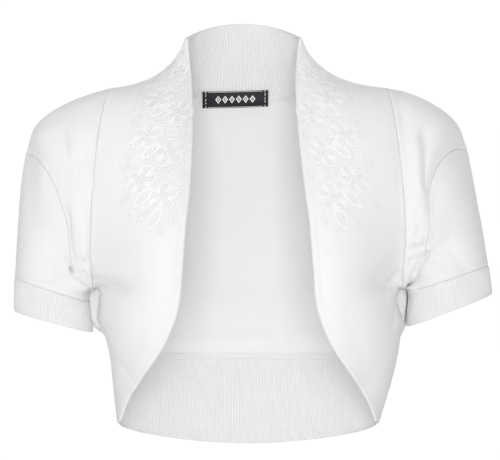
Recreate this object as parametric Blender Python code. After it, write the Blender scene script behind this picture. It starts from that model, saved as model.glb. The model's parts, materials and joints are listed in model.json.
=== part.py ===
"""A short-sleeved bolero jacket in jersey, hollow, as it sits on a wearer.

The wearer faces -Y, +X is the wearer's left and +Z is up. Sizes are in millimetres and
become metres where a mesh is made. The origin is between the wearer's shoulders, at the
base of the neck. Every piece is a wall of cloth: an outer grid of points worked out from
the tables below, and an inner grid set back from it by the cloth's thickness. Pieces that
are sewn together share the points of their seam, less a small gap.
"""

import math

import bmesh
import bpy
import numpy as np
from mathutils import Vector
from mathutils.bvhtree import BVHTree
from mathutils.geometry import delaunay_2d_cdt
from mathutils.kdtree import KDTree

METRES = 0.001

# Cloth
JERSEY = 1.5
RIB_KNIT = 1.7
RIB_RELIEF = 0.8
SEAM_GAP = 0.34
SHARPEST_MITRE = 0.5
SAME_POINT = 0.01
SEAM_EVENINGS = 2
SHARP_ANGLE = 50

# The doubled edge of each front, turned a little inwards
EDGE_COLUMN = 0.04
EDGE_TURN = 2.0
EDGE_THICKNESS = 2.4

# How finely each seam is divided. Pieces that share a seam share its points.
RIDGE_STEPS = 9
NECK_END_STEPS = 3
NECK_STEPS = 6
LOOP_STEPS = 36
SIDE_STEPS_ABOVE_BAND = 6
SIDE_STEPS_BESIDE_BAND = 4
CAP_STEPS = 5
SLEEVE_STEPS = 6
RIBS_PER_BAND_STEP = 5
RIBS_PER_COLLAR_STEP = 6
RIBS_PER_CUFF_STEP = 3

# The neck sits a little towards the wearer's right, and stands straight over the bust.
NECK_LEAN = -6.0
LEAN_FROM_Z = -160.0
LEAN_TO_Z = 40.0
LEAN_HALF_WIDTH = 140.0

# Where the main points are, on the wearer's left
NECK_TOP = (60.5, 5.0, 40.0)
SHOULDER_TIP = (143.0, 5.0, -14.0)
NAPE = (0.0, 78.0, -22.0)
COLLAR_TOP_BACK = (0.0, 66.0, 59.0)
HEM_BOTTOM_BACK = (0.0, 92.0, -395.0)

# The ways in which lines leave or reach a point, as heading and dip in degrees: heading
# turns from straight outwards towards the back, and dip is downwards
STRAIGHT_ACROSS = (0, 0)
RIDGE_LEAVES = (0, 74)
RIDGE_ARRIVES = (0, 4)
NECK_SEAM_ARRIVES = (-80, -32)
COLLAR_TOP_ARRIVES = (-84, 6)
HEM_BOTTOM_ARRIVES = (-90, -14)

# How far a curve holds to the ways in which it leaves and arrives, by share of its span
ROW_REACH = 0.36
NECK_SEAM_REACH = 0.5
COLLAR_TOP_REACH = 0.42
CURVE_STEPS = 24


def table(text):
    """Rows of numbers as a dict of columns, from text with a line of column names."""
    lines = [line.split() for line in text.strip().splitlines()]
    names, rows = lines[0], lines[1:]
    width = len(names)
    values = np.array([[float(word) for word in row[-width:]] for row in rows])
    return {name: values[:, k] for k, name in enumerate(names)}


# The front edge of a front, from the collar's corner to the hem's tip, and the way that the
# cloth leaves it
FRONT_EDGE = table("""
    x      y       z     heading  dip
    60.5   5.0     40.0  -10      74
    54.5  -12.0    9.0   -52      40
    52.5  -38.0   -28.0  -46      16
    53.6  -66.0   -74.0  -34      4
    57.5  -92.0   -123.0 -26      0
    62.0  -108.0  -163.0 -24      0
    66.0  -118.0  -217.0 -20      0
    68.5  -119.0  -240.0 -17      0
    77.0  -116.0  -265.0 -8       0
    88.0  -108.0  -286.0 8        0
    105.0 -90.0   -310.0 28       0
    122.0 -62.0   -334.0 48       0
    134.5 -22.0   -362.0 82       0
""")

# The middle of the back from the collar seam to the hem band
BACK_MIDDLE = table("""
    x    y      z
    0.0  78.0   -22.0
    0.0  88.0   -50.0
    0.0  99.0   -100.0
    0.0  106.0  -160.0
    0.0  105.0  -215.0
    0.0  99.0   -262.0
    0.0  95.0   -303.0
""")

# The way that the body's cloth reaches the armhole and the side, by share of the way down
# the armhole
OUTER_LINE = table("""
    down   heading  dip
    0.00   0        4
    0.20   24       12
    0.40   36       8
    0.65   48       3
    0.90   66       0
    1.00   90       0
""")

# The side seam from the armpit down: how far out it is on the wearer's right and left
SIDE_SEAM = table("""
    right  left   y    z
    158.0  158.0  5.0  -223.0
    156.4  157.4  4.0  -227.5
    156.0  156.5  3.0  -236.0
    155.3  158.3  2.0  -250.0
    153.0  160.0  2.5  -264.0
    148.0  159.5  4.0  -280.0
    143.5  155.5  5.0  -303.0
    140.5  147.0  5.0  -334.5
    137.0  137.0  5.0  -366.0
""")

# Sections round the sleeve, from the armhole to the cuff's edge. Each is an oval through a
# top and a low point, with its depth in front and behind. swell and skew bend its front
# sideways: swell most at mid height, skew out above and in below.
SLEEVE_RIGHT = table("""
              top_x  top_z   low_x  low_z   front  back  swell  skew
    armhole   143.0  -14.0   158.0  -223.0  64     66    9      0
    cap_1     166.0  -20.0   161.5  -223.0  66     68    7      -2
    cap_2     189.0  -29.0   164.0  -223.5  68     69    2      -4
    cap_3     209.0  -40.0   166.0  -224.5  68     69    -3     -5
    cap_4     225.0  -57.0   167.0  -226.0  66     67    -8     -7
    seam      234.0  -86.0   167.5  -228.0  63     65    -12    -8
    upper     238.5  -114.0  167.8  -230.5  60     62    -8     -5
    middle    241.5  -150.0  168.0  -233.0  56     58    -4     -3
    lower     243.5  -184.0  168.0  -235.5  52     54    -1     -1
    cuff_top  245.0  -213.0  167.5  -238.0  48     50    0      0
    cuff_edge 245.5  -248.0  163.0  -270.0  46     48    0      0
""")
SLEEVE_LEFT = table("""
              top_x  top_z   low_x  low_z   front  back  swell  skew
    armhole   143.0  -14.0   158.0  -223.0  64     66    9      0
    cap_1     165.0  -18.0   161.5  -221.5  66     68    6      -2
    cap_2     187.0  -26.0   164.3  -220.0  68     69    0      -4
    cap_3     207.0  -38.0   166.8  -219.0  68     69    -6     -6
    cap_4     222.0  -54.0   168.6  -218.8  66     67    -11    -9
    seam      231.0  -80.0   170.0  -219.4  63     65    -15    -12
    upper     237.0  -108.0  170.8  -220.9  60     62    -10    -8
    middle    243.0  -142.0  171.0  -222.8  56     58    -5     -4
    lower     248.5  -173.0  170.8  -224.8  52     54    -2     -2
    cuff_top  252.0  -200.0  170.0  -227.0  48     50    0      0
    cuff_edge 256.5  -230.0  166.5  -264.0  46     48    0      0
""")
SLEEVE_MIDDLE_Y = 5.0
BACK_SWELL_SHARE = 0.5

# How the back hangs full behind the side seam: it turns this many degrees more on its way
# to the seam, and so stands out past it.
BACK_FULLNESS = table("""
    z       right  left
    -303.0  0      0
    -280.0  7      8
    -264.0  42     36
    -250.0  53     48
    -236.0  58     56
    -228.5  57     57
    -223.0  15     15
    -221.0  0      0
""")

# The rows of the back over which the shape of the collar and shoulder seams fades
BACK_TOP_ROWS = 6

# A fold lies on the cloth that faces its side of the garment. It fades over the edge
# between front and back this sharply, from this share of its height.
FOLD_WRAP = 0.25
FOLD_FADE = 1.5

# The largest folds, each a soft trough or ridge along a line seen from in front, from
# (x, z) to (to_x, to_z). side is -1 on the front of the garment, 1 on its back.
FOLDS_RIGHT = table("""
    x      z       to_x   to_z    side  width  height
    196.0  -48.0   186.0  -150.0  -1    13     -4.5
    174.0  -88.0   163.0  -122.0  -1    10     -3.5
    214.0  -64.0   214.0  -112.0  -1    12     2.5
    172.0  -135.0  172.0  -188.0  -1    11     3.0
    190.0  -165.0  182.0  -205.0  -1    11     -4.5
    214.0  -150.0  205.0  -215.0  -1    12     -2.5
    200.0  -60.0   178.0  -160.0  1     14     -4.5
    180.0  -160.0  176.0  -205.0  1     11     -3.5
    222.0  -110.0  214.0  -200.0  1     14     -3.0
""")
FOLDS_LEFT = table("""
    x      z       to_x   to_z    side  width  height
    187.0  -66.0   186.0  -128.0  -1    13     -4.0
    158.0  -40.0   158.0  -110.0  -1    11     -2.0
    172.0  -80.0   174.0  -140.0  -1    11     3.0
    168.0  -168.0  192.0  -162.0  -1    10     3.0
    172.0  -188.0  200.0  -180.0  -1    10     -4.0
    200.0  -52.0   184.0  -150.0  1     14     -4.0
    180.0  -150.0  176.0  -200.0  1     11     -3.5
    232.0  -110.0  226.0  -190.0  1     14     -3.0
""")
FOLDS_BODY = table("""
    x      z       to_x   to_z    side  width  height
    -160.0 -206.0  -134.0 -204.0  -1    11     2.5
    -158.0 -226.0  -132.0 -222.0  -1    10     -3.5
    158.0  -196.0  138.0  -214.0  -1    11     -3.0
    -128.0 -320.0  -108.0 -250.0  -1    15     -2.5
    124.0  -322.0  106.0  -250.0  -1    15     -2.5
    -110.0 -150.0  -70.0  -262.0  1     18     -4.0
    116.0  -160.0  66.0   -270.0  1     18     -4.0
""")

# The woven label, over the collar seam
LABEL_MIDDLE_X = -13.7
LABEL_HALF_WIDTH = 35.5
LABEL_TOP_Z = -13.0
LABEL_HEIGHT = 17.6
LABEL_THICKNESS = 0.8
LABEL_BEND = 0.45
LABEL_LOOK = 1.0
LABEL_STEPS = 8
LABEL_CLEARANCE = 0.85
HOLLOW_Y = -40.0

# The corded applique of a front, on the cloth: across is millimetres from the front edge
# and down is millimetres from the shoulder line. turn is in degrees.
CORD_WIDTH = 2.6
CORD_THICKNESS = 1.5
CORD_CLEARANCE = 0.6
FLOWERS = table("""
    across down   radius turn
    20     31     13.0   10
    44     62     16.5   30
    21     92     16.5   0
    54     112    16.5   20
    27     142    17.0   40
    56     167    16.5   10
    30     194    16.5   35
""")
LEAVES = table("""
    across down   length turn
    32     46     22     -120
    32     46     20     50
    33     77     22     -65
    40     127    22     -50
    43     181    24     -45
    32     206    24     -20
""")
CORD_MERGE = 0.3
SHARPEST_CORD = 0.36
STEM_REACH = 0.35
STEM_BOW = 2.5
PETALS = 5
PETAL = table("""
    angle  radius
    -36    0.36
    -21    0.86
    0      1.00
    21     0.86
""")
LEAF = table("""
    along  side
    0.00   0.00
    0.30   0.24
    0.68   0.22
    1.00   0.00
    0.68   -0.22
    0.30   -0.24
""")

JERSEY_WHITE = (0.86, 0.86, 0.87)
RIB_WHITE = (0.82, 0.83, 0.83)
CORD_WHITE = (0.92, 0.92, 0.93)
LABEL_BLACK = (0.012, 0.010, 0.016)


def points_of(columns):
    return np.stack([columns["x"], columns["y"], columns["z"]], axis=1)


def along(knots, shares):
    """Points on the smooth curve through knots, at shares of its length. Any extra
    columns of the knots are carried along the curve too."""
    knots = np.asarray(knots, float)
    ends = [2 * knots[0] - knots[1], *knots, 2 * knots[-1] - knots[-2]]
    fine = []
    for a, b, c, d in zip(ends, ends[1:], ends[2:], ends[3:]):
        for t in np.linspace(0, 1, CURVE_STEPS, endpoint=False):
            fine.append(
                0.5 * (2 * b + (c - a) * t + (2 * a - 5 * b + 4 * c - d) * t**2
                       + (3 * b - a - 3 * c + d) * t**3)
            )
    fine = np.array([*fine, knots[-1]])
    steps = np.linalg.norm(np.diff(fine[:, :3], axis=0), axis=1)
    length = np.concatenate([[0], np.cumsum(steps)])
    at = np.asarray(shares) * length[-1]
    return np.stack([np.interp(at, length, column) for column in fine.T], axis=1)


def unit(vectors):
    return vectors / np.maximum(np.linalg.norm(vectors, axis=-1, keepdims=True), 1e-9)


def heading_vector(heading, dip):
    heading, dip = math.radians(heading), math.radians(dip)
    flat = math.cos(dip)
    return np.array([flat * math.cos(heading), flat * math.sin(heading), -math.sin(dip)])


def bowed_row(start, leaving, end, arriving, shares, reach=ROW_REACH):
    """A row of points from start to end that leaves and arrives in the given directions."""
    hold = reach * np.linalg.norm(end - start)
    corners = [start, start + hold * leaving, end - hold * arriving, end]
    t = np.asarray(shares)[:, None]
    weights = [(1 - t) ** 3, 3 * t * (1 - t) ** 2, 3 * t**2 * (1 - t), t**3]
    return sum(w * c for w, c in zip(weights, corners))


def between(sections, row):
    """The numbers of a section that may lie between two rows of the table, on a smooth
    curve through the rows."""
    last = len(sections["top_x"]) - 1
    low = min(int(row), last - 1)
    t = row - low
    part = {}
    for name, column in sections.items():
        a, b = column[max(low - 1, 0)], column[low]
        c, d = column[low + 1], column[min(low + 2, last)]
        part[name] = 0.5 * (2 * b + (c - a) * t + (2 * a - 5 * b + 4 * c - d) * t**2
                            + (3 * b - a - 3 * c + d) * t**3)
    return part


def sleeve_loop(sections, row):
    """One section round the sleeve, LOOP_STEPS points from its top, forwards and round."""
    part = between(sections, row)
    top = np.array([part["top_x"], part["top_z"]])
    low = np.array([part["low_x"], part["low_z"]])
    axis = (top - low) / 2
    outwards = np.array([axis[1], -axis[0]]) / np.linalg.norm(axis)
    loop = []
    for step in range(LOOP_STEPS):
        turn = 2 * math.pi * step / LOOP_STEPS
        forward = math.sin(turn)
        depth = part["front"] if forward > 0 else part["back"]
        share = 1 if forward > 0 else BACK_SWELL_SHARE
        from_top = min(turn, 2 * math.pi - turn)
        bend = share * (part["swell"] * abs(forward) + part["skew"] * math.sin(2 * from_top))
        x, z = (top + low) / 2 + axis * math.cos(turn) + outwards * bend
        loop.append((x, SLEEVE_MIDDLE_Y - depth * forward, z))
    return np.array(loop)


def ridge():
    """The line from the collar's top corner over the shoulder to the armhole's top."""
    shares = np.linspace(0, 1, RIDGE_STEPS + 1)
    leaving, arriving = heading_vector(*RIDGE_LEAVES), heading_vector(*RIDGE_ARRIVES)
    return bowed_row(np.array(NECK_TOP), leaving, np.array(SHOULDER_TIP), arriving, shares)


def neck_seam():
    """The collar seam from the middle of the back round to the shoulder seam."""
    end = ridge()[NECK_END_STEPS]
    shares = np.linspace(0, 1, NECK_STEPS + 1)
    leaving, arriving = heading_vector(*STRAIGHT_ACROSS), heading_vector(*NECK_SEAM_ARRIVES)
    return bowed_row(np.array(NAPE), leaving, end, arriving, shares, NECK_SEAM_REACH)


def on_polyline(knots, shares):
    """Points at shares of the knots' numbering, on straight lines between them."""
    at = np.asarray(shares) * (len(knots) - 1)
    return np.stack([np.interp(at, range(len(knots)), column) for column in knots.T], axis=1)


def side_seam(side):
    return np.stack([SIDE_SEAM[side], SIDE_SEAM["y"], SIDE_SEAM["z"]], axis=1)


def outer_line(side, is_back):
    """The points where the front or the back meets the armhole and then the side seam, and
    how far each is down the armhole, from 0 to 1."""
    loop = sleeve_loop(SLEEVE_LEFT, 0)
    half = LOOP_STEPS // 2
    armhole = [loop[-k % LOOP_STEPS if is_back else k] for k in range(half + 1)]
    seam = side_seam(side)
    points = armhole + list(seam[1:SIDE_STEPS_ABOVE_BAND + 1])
    if not is_back:
        beside_band = seam[SIDE_STEPS_ABOVE_BAND:]
        shares = np.linspace(0, 1, SIDE_STEPS_BESIDE_BAND + 1)[1:]
        points += list(on_polyline(beside_band, shares))
    down = np.minimum(np.arange(len(points)) / half, 1)
    return np.array(points), down


def share_of_length(points):
    steps = np.linalg.norm(np.diff(points, axis=0), axis=1)
    length = np.concatenate([[0], np.cumsum(steps)])
    return length / length[-1]


def front_shares():
    """Where the columns of a front lie, with one more close to the turned edge."""
    even = np.linspace(0, 1, RIDGE_STEPS + 1)
    return np.array([0, EDGE_COLUMN, *even[1:]])


def front_grid(side):
    outer, down = outer_line(side, is_back=False)
    shares = front_shares()
    columns = [FRONT_EDGE[name] for name in ("x", "y", "z", "heading", "dip")]
    edge = along(np.stack(columns, axis=1), share_of_length(outer))
    rows = [on_polyline(ridge(), shares)]
    for k in range(1, len(outer)):
        leaving = heading_vector(edge[k][3], edge[k][4])
        arriving = heading_vector(*arrival(down[k]))
        rows.append(bowed_row(edge[k][:3], leaving, outer[k], arriving, shares))
    return np.array(rows)


def arrival(down):
    """The heading and the dip with which a row reaches the armhole or the side."""
    turn = np.interp(down, OUTER_LINE["down"], OUTER_LINE["heading"])
    dip = np.interp(down, OUTER_LINE["down"], OUTER_LINE["dip"])
    return turn, dip


def half_back(side):
    """Half of the back, drawn on the left, with the side seam and fullness of its side."""
    outer, down = outer_line(side, is_back=True)
    middle = along(points_of(BACK_MIDDLE), share_of_length(outer))
    top = np.array([*neck_seam(), *ridge()[NECK_END_STEPS + 1:]])
    shares = np.linspace(0, 1, len(top))
    rows = []
    for k in range(len(outer)):
        heading, dip = arrival(down[k])
        if k >= LOOP_STEPS // 2:
            heading += np.interp(outer[k][2], BACK_FULLNESS["z"], BACK_FULLNESS[side])
        rows.append(bowed_row(middle[k], heading_vector(*STRAIGHT_ACROSS), outer[k],
                              heading_vector(-heading, dip), shares))
    half = np.array(rows)
    correction = top - half[0]
    for k in range(BACK_TOP_ROWS):
        half[k] += correction * (1 - k / BACK_TOP_ROWS) ** 2
    return half


def back_grid():
    right = mirrored(half_back("right"))[:, :0:-1]
    return np.concatenate([right, half_back("left")], axis=1)


def mirrored(points):
    return points * np.array([-1, 1, 1])


def both_ways(half_line):
    """A line from the middle out to one side, made whole from side to side."""
    return np.concatenate([mirrored(half_line)[:0:-1], half_line])


def stretched(top, low, first, last):
    """A grid stretched between four edges that share their corners."""
    u = np.linspace(0, 1, len(top))[None, :, None]
    v = np.linspace(0, 1, len(first))[:, None, None]
    across = (1 - v) * top[None] + v * low[None]
    down = (1 - u) * first[:, None] + u * last[:, None]
    corners = (1 - v) * ((1 - u) * top[0] + u * top[-1]) + v * ((1 - u) * low[0] + u * low[-1])
    return across + down - corners


def collar_grid():
    shares = np.linspace(0, 1, NECK_STEPS + 1)
    leaving, arriving = heading_vector(*STRAIGHT_ACROSS), heading_vector(*COLLAR_TOP_ARRIVES)
    top = bowed_row(np.array(COLLAR_TOP_BACK), leaving, np.array(NECK_TOP), arriving, shares,
                    COLLAR_TOP_REACH)
    end = ridge()[:NECK_END_STEPS + 1]
    return stretched(both_ways(top), both_ways(neck_seam()), mirrored(end), end)


def band_grid(back):
    top = back[-1]
    shares = np.linspace(0, 1, len(top) // 2 + 1)
    leaving, arriving = heading_vector(*STRAIGHT_ACROSS), heading_vector(*HEM_BOTTOM_ARRIVES)
    low = bowed_row(np.array(HEM_BOTTOM_BACK), leaving, side_seam("left")[-1], arriving, shares)
    right, left = (side_seam(side)[SIDE_STEPS_ABOVE_BAND:] for side in ("right", "left"))
    return stretched(top, both_ways(low), mirrored(right), left)


def leaned(points):
    """The neck's lean to one side, which fades towards the bust and the shoulders."""
    up = np.clip((points[..., 2] - LEAN_FROM_Z) / (LEAN_TO_Z - LEAN_FROM_Z), 0, 1)
    out = np.clip(1 - (points[..., 0] / LEAN_HALF_WIDTH) ** 2, 0, 1)
    shifted = points.copy()
    shifted[..., 0] += NECK_LEAN * up**2 * (3 - 2 * up) * out
    return shifted


class Piece:
    """One cut piece: its outer grid of points, and which of its edges are sewn."""

    def __init__(self, name, grid, colour, closed=False, sewn="", thickness=JERSEY, ribs=0):
        self.name = name
        self.grid = leaned(grid)
        self.colour = colour
        self.closed = closed
        self.sewn = sewn.split()
        self.thickness = np.full(grid.shape[:2], float(thickness))
        self.ribs = ribs
        self.normals = None
        self.own_normals = None
        self.moves = None

    def edges(self):
        """The places in the grid of each edge, by name."""
        rows, columns = self.grid.shape[:2]
        whole_row, whole_column = range(columns), range(rows)
        found = {
            "top": [(0, k) for k in whole_row],
            "low": [(rows - 1, k) for k in whole_row],
        }
        if not self.closed:
            found["first"] = [(k, 0) for k in whole_column]
            found["last"] = [(k, columns - 1) for k in whole_column]
        return found

    def find_normals(self):
        if self.closed:
            wrapped = np.concatenate([self.grid[:, -1:], self.grid, self.grid[:, :1]], axis=1)
            across = (wrapped[:, 2:] - wrapped[:, :-2]) / 2
            inside = self.grid.mean(axis=1, keepdims=True)
        else:
            across = np.gradient(self.grid, axis=1)
            inside = self.grid * np.array([0, 0, 1])
        normals = unit(np.cross(np.gradient(self.grid, axis=0), across))
        if (normals * (self.grid - inside)).sum() < 0:
            normals = -normals
        self.normals = normals
        self.own_normals = normals.copy()


def meeting_points(pieces):
    """Where pieces meet: for each point of an edge, the number that it shares with the
    points of other pieces at the same place."""
    spots = [(piece, place) for piece in pieces
             for places in piece.edges().values() for place in places]
    tree = KDTree(len(spots))
    for number, (piece, place) in enumerate(spots):
        tree.insert(piece.grid[place], number)
    tree.balance()
    return {
        (piece.name, place): min(k for _, k, _ in tree.find_range(piece.grid[place], SAME_POINT))
        for piece, place in spots
    }


def mean_by_number(pieces, meeting, name):
    """The mean of the named vectors of all the points that meet."""
    sums = {}
    for piece in pieces:
        vectors = getattr(piece, name)
        for place in {place for places in piece.edges().values() for place in places}:
            sums.setdefault(meeting[piece.name, place], []).append(vectors[place])
    return {number: np.mean(found, axis=0) for number, found in sums.items()}


def give_back(pieces, meeting, name, shared):
    for piece in pieces:
        vectors = getattr(piece, name)
        for places in piece.edges().values():
            for place in places:
                vectors[place] = shared[meeting[piece.name, place]]


def share_seam_normals(pieces, meeting):
    """Gives the points that meet in a seam one direction, evened out along the seam."""
    shared = mean_by_number(pieces, meeting, "own_normals")
    for _ in range(SEAM_EVENINGS):
        sums = {number: 2 * unit(normal) for number, normal in shared.items()}
        for piece in pieces:
            for places in piece.edges().values():
                places = [*places, places[0]] if piece.closed else list(places)
                for one, other in zip(places, places[1:]):
                    here, there = meeting[piece.name, one], meeting[piece.name, other]
                    sums[here] = sums[here] + unit(shared[there])
                    sums[there] = sums[there] + unit(shared[here])
        shared = sums
    shared = {number: unit(normal) for number, normal in shared.items()}
    give_back(pieces, meeting, "normals", shared)


def fold_depth(points, normals, folds):
    """How far the folds move each point out along its normal."""
    depth = np.zeros(points.shape[:-1])
    for x, z, to_x, to_z, side, width, height in zip(*folds.values()):
        start, run = np.array([x, z]), np.array([to_x - x, to_z - z])
        seen = points[..., [0, 2]] - start
        share = np.clip(seen @ run / (run @ run), 0, 1)
        away = np.linalg.norm(seen - share[..., None] * run, axis=-1)
        facing = np.clip(FOLD_WRAP + FOLD_FADE * side * normals[..., 1], 0, 1)
        depth += height * facing * np.exp(-((away / width) ** 2))
    return depth


def to_wearers_right(folds):
    turned = dict(folds)
    turned["x"], turned["to_x"] = -folds["x"], -folds["to_x"]
    return turned


def fold(pieces, meeting):
    """Moves the cloth into its folds. Points that meet in a seam move together."""
    for piece in pieces:
        if piece.name.endswith("_left") and not piece.name.startswith("front"):
            tables = [FOLDS_LEFT]
        elif piece.name.endswith("_right") and not piece.name.startswith("front"):
            tables = [to_wearers_right(FOLDS_RIGHT)]
        else:
            tables = [FOLDS_BODY]
        depth = sum(fold_depth(piece.grid, piece.normals, folds) for folds in tables)
        piece.moves = depth[..., None] * piece.normals
    give_back(pieces, meeting, "moves", mean_by_number(pieces, meeting, "moves"))
    for piece in pieces:
        piece.grid = piece.grid + piece.moves


def straighten(piece, edge, start, end):
    """Puts an edge's points from start to end on the straight line between those two."""
    places = piece.edges()[edge][start:end + 1]
    first, last = piece.grid[places[0]], piece.grid[places[-1]]
    first_normal, last_normal = piece.normals[places[0]], piece.normals[places[-1]]
    run = last - first
    for place in places[1:-1]:
        share = (piece.grid[place] - first) @ run / (run @ run)
        piece.grid[place] = first + share * run
        piece.normals[place] = unit((1 - share) * first_normal + share * last_normal)


def open_seams(piece):
    """Draws each sewn edge back from its seam by half of the gap."""
    step = {"top": (1, 0), "low": (-1, 0), "first": (0, 1), "last": (0, -1)}
    moved = piece.grid.copy()
    for edge in piece.sewn:
        places = piece.edges()[edge]
        line = np.array([piece.grid[place] for place in places])
        beside = np.array([piece.grid[r + step[edge][0], c + step[edge][1]] for r, c in places])
        if piece.closed:
            tangents = np.roll(line, -1, axis=0) - np.roll(line, 1, axis=0)
        else:
            tangents = np.gradient(line, axis=0)
        normals = np.array([piece.normals[place] for place in places])
        inwards = unit(np.cross(normals, tangents))
        if (inwards * (beside - line)).sum() < 0:
            inwards = -inwards
        for place, way in zip(places, inwards):
            moved[place] += SEAM_GAP / 2 * way
    piece.grid = moved


def ribbed(piece):
    """The outer grid of a ribbed piece: each step of its grid holds several ribs."""
    grid, normals = piece.grid, piece.normals
    if piece.closed:
        grid = np.concatenate([grid, grid[:, :1]], axis=1)
        normals = np.concatenate([normals, normals[:, :1]], axis=1)
    steps = 2 * piece.ribs
    fine = []
    for k in range(grid.shape[1] - 1):
        for part in range(steps):
            share = part / steps
            point = (1 - share) * grid[:, k] + share * grid[:, k + 1]
            normal = unit((1 - share) * normals[:, k] + share * normals[:, k + 1])
            fine.append(point + RIB_RELIEF * (part % 2) * normal)
    if not piece.closed:
        fine.append(grid[:, -1])
    return np.stack(fine, axis=1)


def inner_grid(piece):
    """The inside of the wall. Where seam pieces meet at an angle the wall reaches further,
    so that it keeps its thickness."""
    mitre = np.maximum((piece.normals * piece.own_normals).sum(axis=-1), SHARPEST_MITRE)
    depth = piece.thickness / mitre
    return piece.grid - depth[..., None] * piece.normals


def add_faces(mesh, points, closed):
    verts = [[mesh.verts.new(point * METRES) for point in row] for row in points]
    for upper, lower in zip(verts, verts[1:]):
        pairs = list(zip(upper, lower))
        if closed:
            pairs.append(pairs[0])
        for (a, b), (c, d) in zip(pairs, pairs[1:]):
            mesh.faces.new((a, b, d, c))
    return verts


def zip_lines(mesh, one, other):
    """Triangles between two lines of vertices that may differ in number."""
    i = j = 0
    while i < len(one) - 1 or j < len(other) - 1:
        next_one = (i + 1) / (len(one) - 1)
        next_other = (j + 1) / (len(other) - 1)
        if next_one <= next_other + 1e-9 and i < len(one) - 1:
            mesh.faces.new((one[i], one[i + 1], other[j]))
            i += 1
        else:
            mesh.faces.new((one[i], other[j + 1], other[j]))
            j += 1


def rims(verts, closed):
    """The edges of a grid of vertices as lines, each closed one ending where it starts."""
    ends = [verts[0], verts[-1]]
    if closed:
        return [line + line[:1] for line in ends]
    return ends + [[row[0] for row in verts], [row[-1] for row in verts]]


def cap_ribs(mesh, line):
    """Closes the ends of the ribs along an edge, and gives the line between the ribs."""
    for low, high, next_low in zip(line[::2], line[1::2], line[2::2]):
        mesh.faces.new((low, high, next_low))
    return line[::2]


def face_outwards(mesh):
    bmesh.ops.recalc_face_normals(mesh, faces=mesh.faces)
    if mesh.calc_volume(signed=True) < 0:
        bmesh.ops.reverse_faces(mesh, faces=mesh.faces)


def add_wall(piece):
    mesh = bmesh.new()
    outside = ribbed(piece) if piece.ribs else piece.grid
    outer = add_faces(mesh, outside, piece.closed)
    inner = add_faces(mesh, inner_grid(piece), piece.closed)
    outer_rims = rims(outer, piece.closed)
    if piece.ribs:
        outer_rims[:2] = [cap_ribs(mesh, line) for line in outer_rims[:2]]
    for one, other in zip(outer_rims, rims(inner, piece.closed)):
        zip_lines(mesh, one, other)
    face_outwards(mesh)
    add_object(piece.name, mesh, piece.colour)


def add_object(name, mesh, colour):
    data = bpy.data.meshes.new(name)
    mesh.to_mesh(data)
    mesh.free()
    data.shade_smooth()
    data.set_sharp_from_angle(angle=math.radians(SHARP_ANGLE))
    data.materials.append(cloth_material(name, colour))
    bpy.context.scene.collection.objects.link(bpy.data.objects.new(name, data))


def cloth_material(name, colour):
    material = bpy.data.materials.new(name)
    material.use_nodes = True
    shader = material.node_tree.nodes["Principled BSDF"]
    shader.inputs["Base Color"].default_value = (*colour, 1)
    shader.inputs["Roughness"].default_value = 0.9
    shader.inputs["Metallic"].default_value = 0
    return material


def sleeve_pieces(side, name, sections):
    """A sleeve's cap, its lower part and its cuff."""
    last = len(sections["top_x"]) - 1
    turn = np.array([side, 1, 1])
    cap_rows = range(CAP_STEPS + 1)
    sleeve_rows = np.linspace(CAP_STEPS, last - 1, SLEEVE_STEPS + 1)
    cuff_rows = [last - 1, last]
    parts = (
        ("cap", cap_rows, JERSEY_WHITE, "top low", JERSEY, 0),
        ("sleeve", sleeve_rows, JERSEY_WHITE, "top low", JERSEY, 0),
        ("cuff", cuff_rows, RIB_WHITE, "top", RIB_KNIT, RIBS_PER_CUFF_STEP),
    )
    return [
        Piece(f"{part}_{name}", np.array([sleeve_loop(sections, row) for row in rows]) * turn,
              colour, closed=True, sewn=sewn, thickness=thickness, ribs=ribs)
        for part, rows, colour, sewn, thickness, ribs in parts
    ]


def cut_pieces():
    back = back_grid()
    pieces = [
        Piece("front_left", front_grid("left"), JERSEY_WHITE, sewn="top last"),
        Piece("front_right", mirrored(front_grid("right")), JERSEY_WHITE, sewn="top last"),
        Piece("back", back, JERSEY_WHITE, sewn="top low first last"),
        Piece("collar", collar_grid(), RIB_WHITE, sewn="low first last",
              thickness=RIB_KNIT, ribs=RIBS_PER_COLLAR_STEP),
        Piece("hem_band", band_grid(back), RIB_WHITE, sewn="top first last",
              thickness=RIB_KNIT, ribs=RIBS_PER_BAND_STEP),
    ]
    pieces += sleeve_pieces(1, "left", SLEEVE_LEFT)
    pieces += sleeve_pieces(-1, "right", SLEEVE_RIGHT)
    return pieces


def turn_front_edge(piece):
    """The doubled, turned-in edge of a front."""
    piece.grid[1:, 0] -= EDGE_TURN * piece.normals[1:, 0]
    piece.thickness[:, :2] = EDGE_THICKNESS


def sew(pieces):
    meeting = meeting_points(pieces)
    for piece in pieces:
        piece.find_normals()
    share_seam_normals(pieces, meeting)
    fold(pieces, meeting)
    for piece in pieces:
        piece.find_normals()
    share_seam_normals(pieces, meeting)
    for piece in pieces:
        if piece.name.startswith("front"):
            turn_front_edge(piece)
            straighten(piece, "top", 0, 2)
            beside = len(piece.grid) - 1 - SIDE_STEPS_BESIDE_BAND
            straighten(piece, "last", beside, beside + 2)
            straighten(piece, "last", beside + 2, beside + 4)
    for piece in pieces:
        open_seams(piece)


def surface(points):
    """A tree of the faces between the points of a grid, to find places on it."""
    rows, columns = points.shape[:2]
    corners = [(r * columns + c, r * columns + c + 1, (r + 1) * columns + c + 1,
                (r + 1) * columns + c) for r in range(rows - 1) for c in range(columns - 1)]
    return BVHTree.FromPolygons([tuple(point) for point in points.reshape(-1, 3)], corners)


def depth_behind(trees, x, z):
    """How far back the nearest of the surfaces lies at x and z, seen from the hollow. It looks
    a little above and below too, past an open seam."""
    hits = [tree.ray_cast((x, HOLLOW_Y, z + step), (0, 1, 0))[0]
            for tree in trees for step in (-LABEL_LOOK, 0, LABEL_LOOK)]
    return min(hit[1] for hit in hits if hit is not None)


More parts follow.
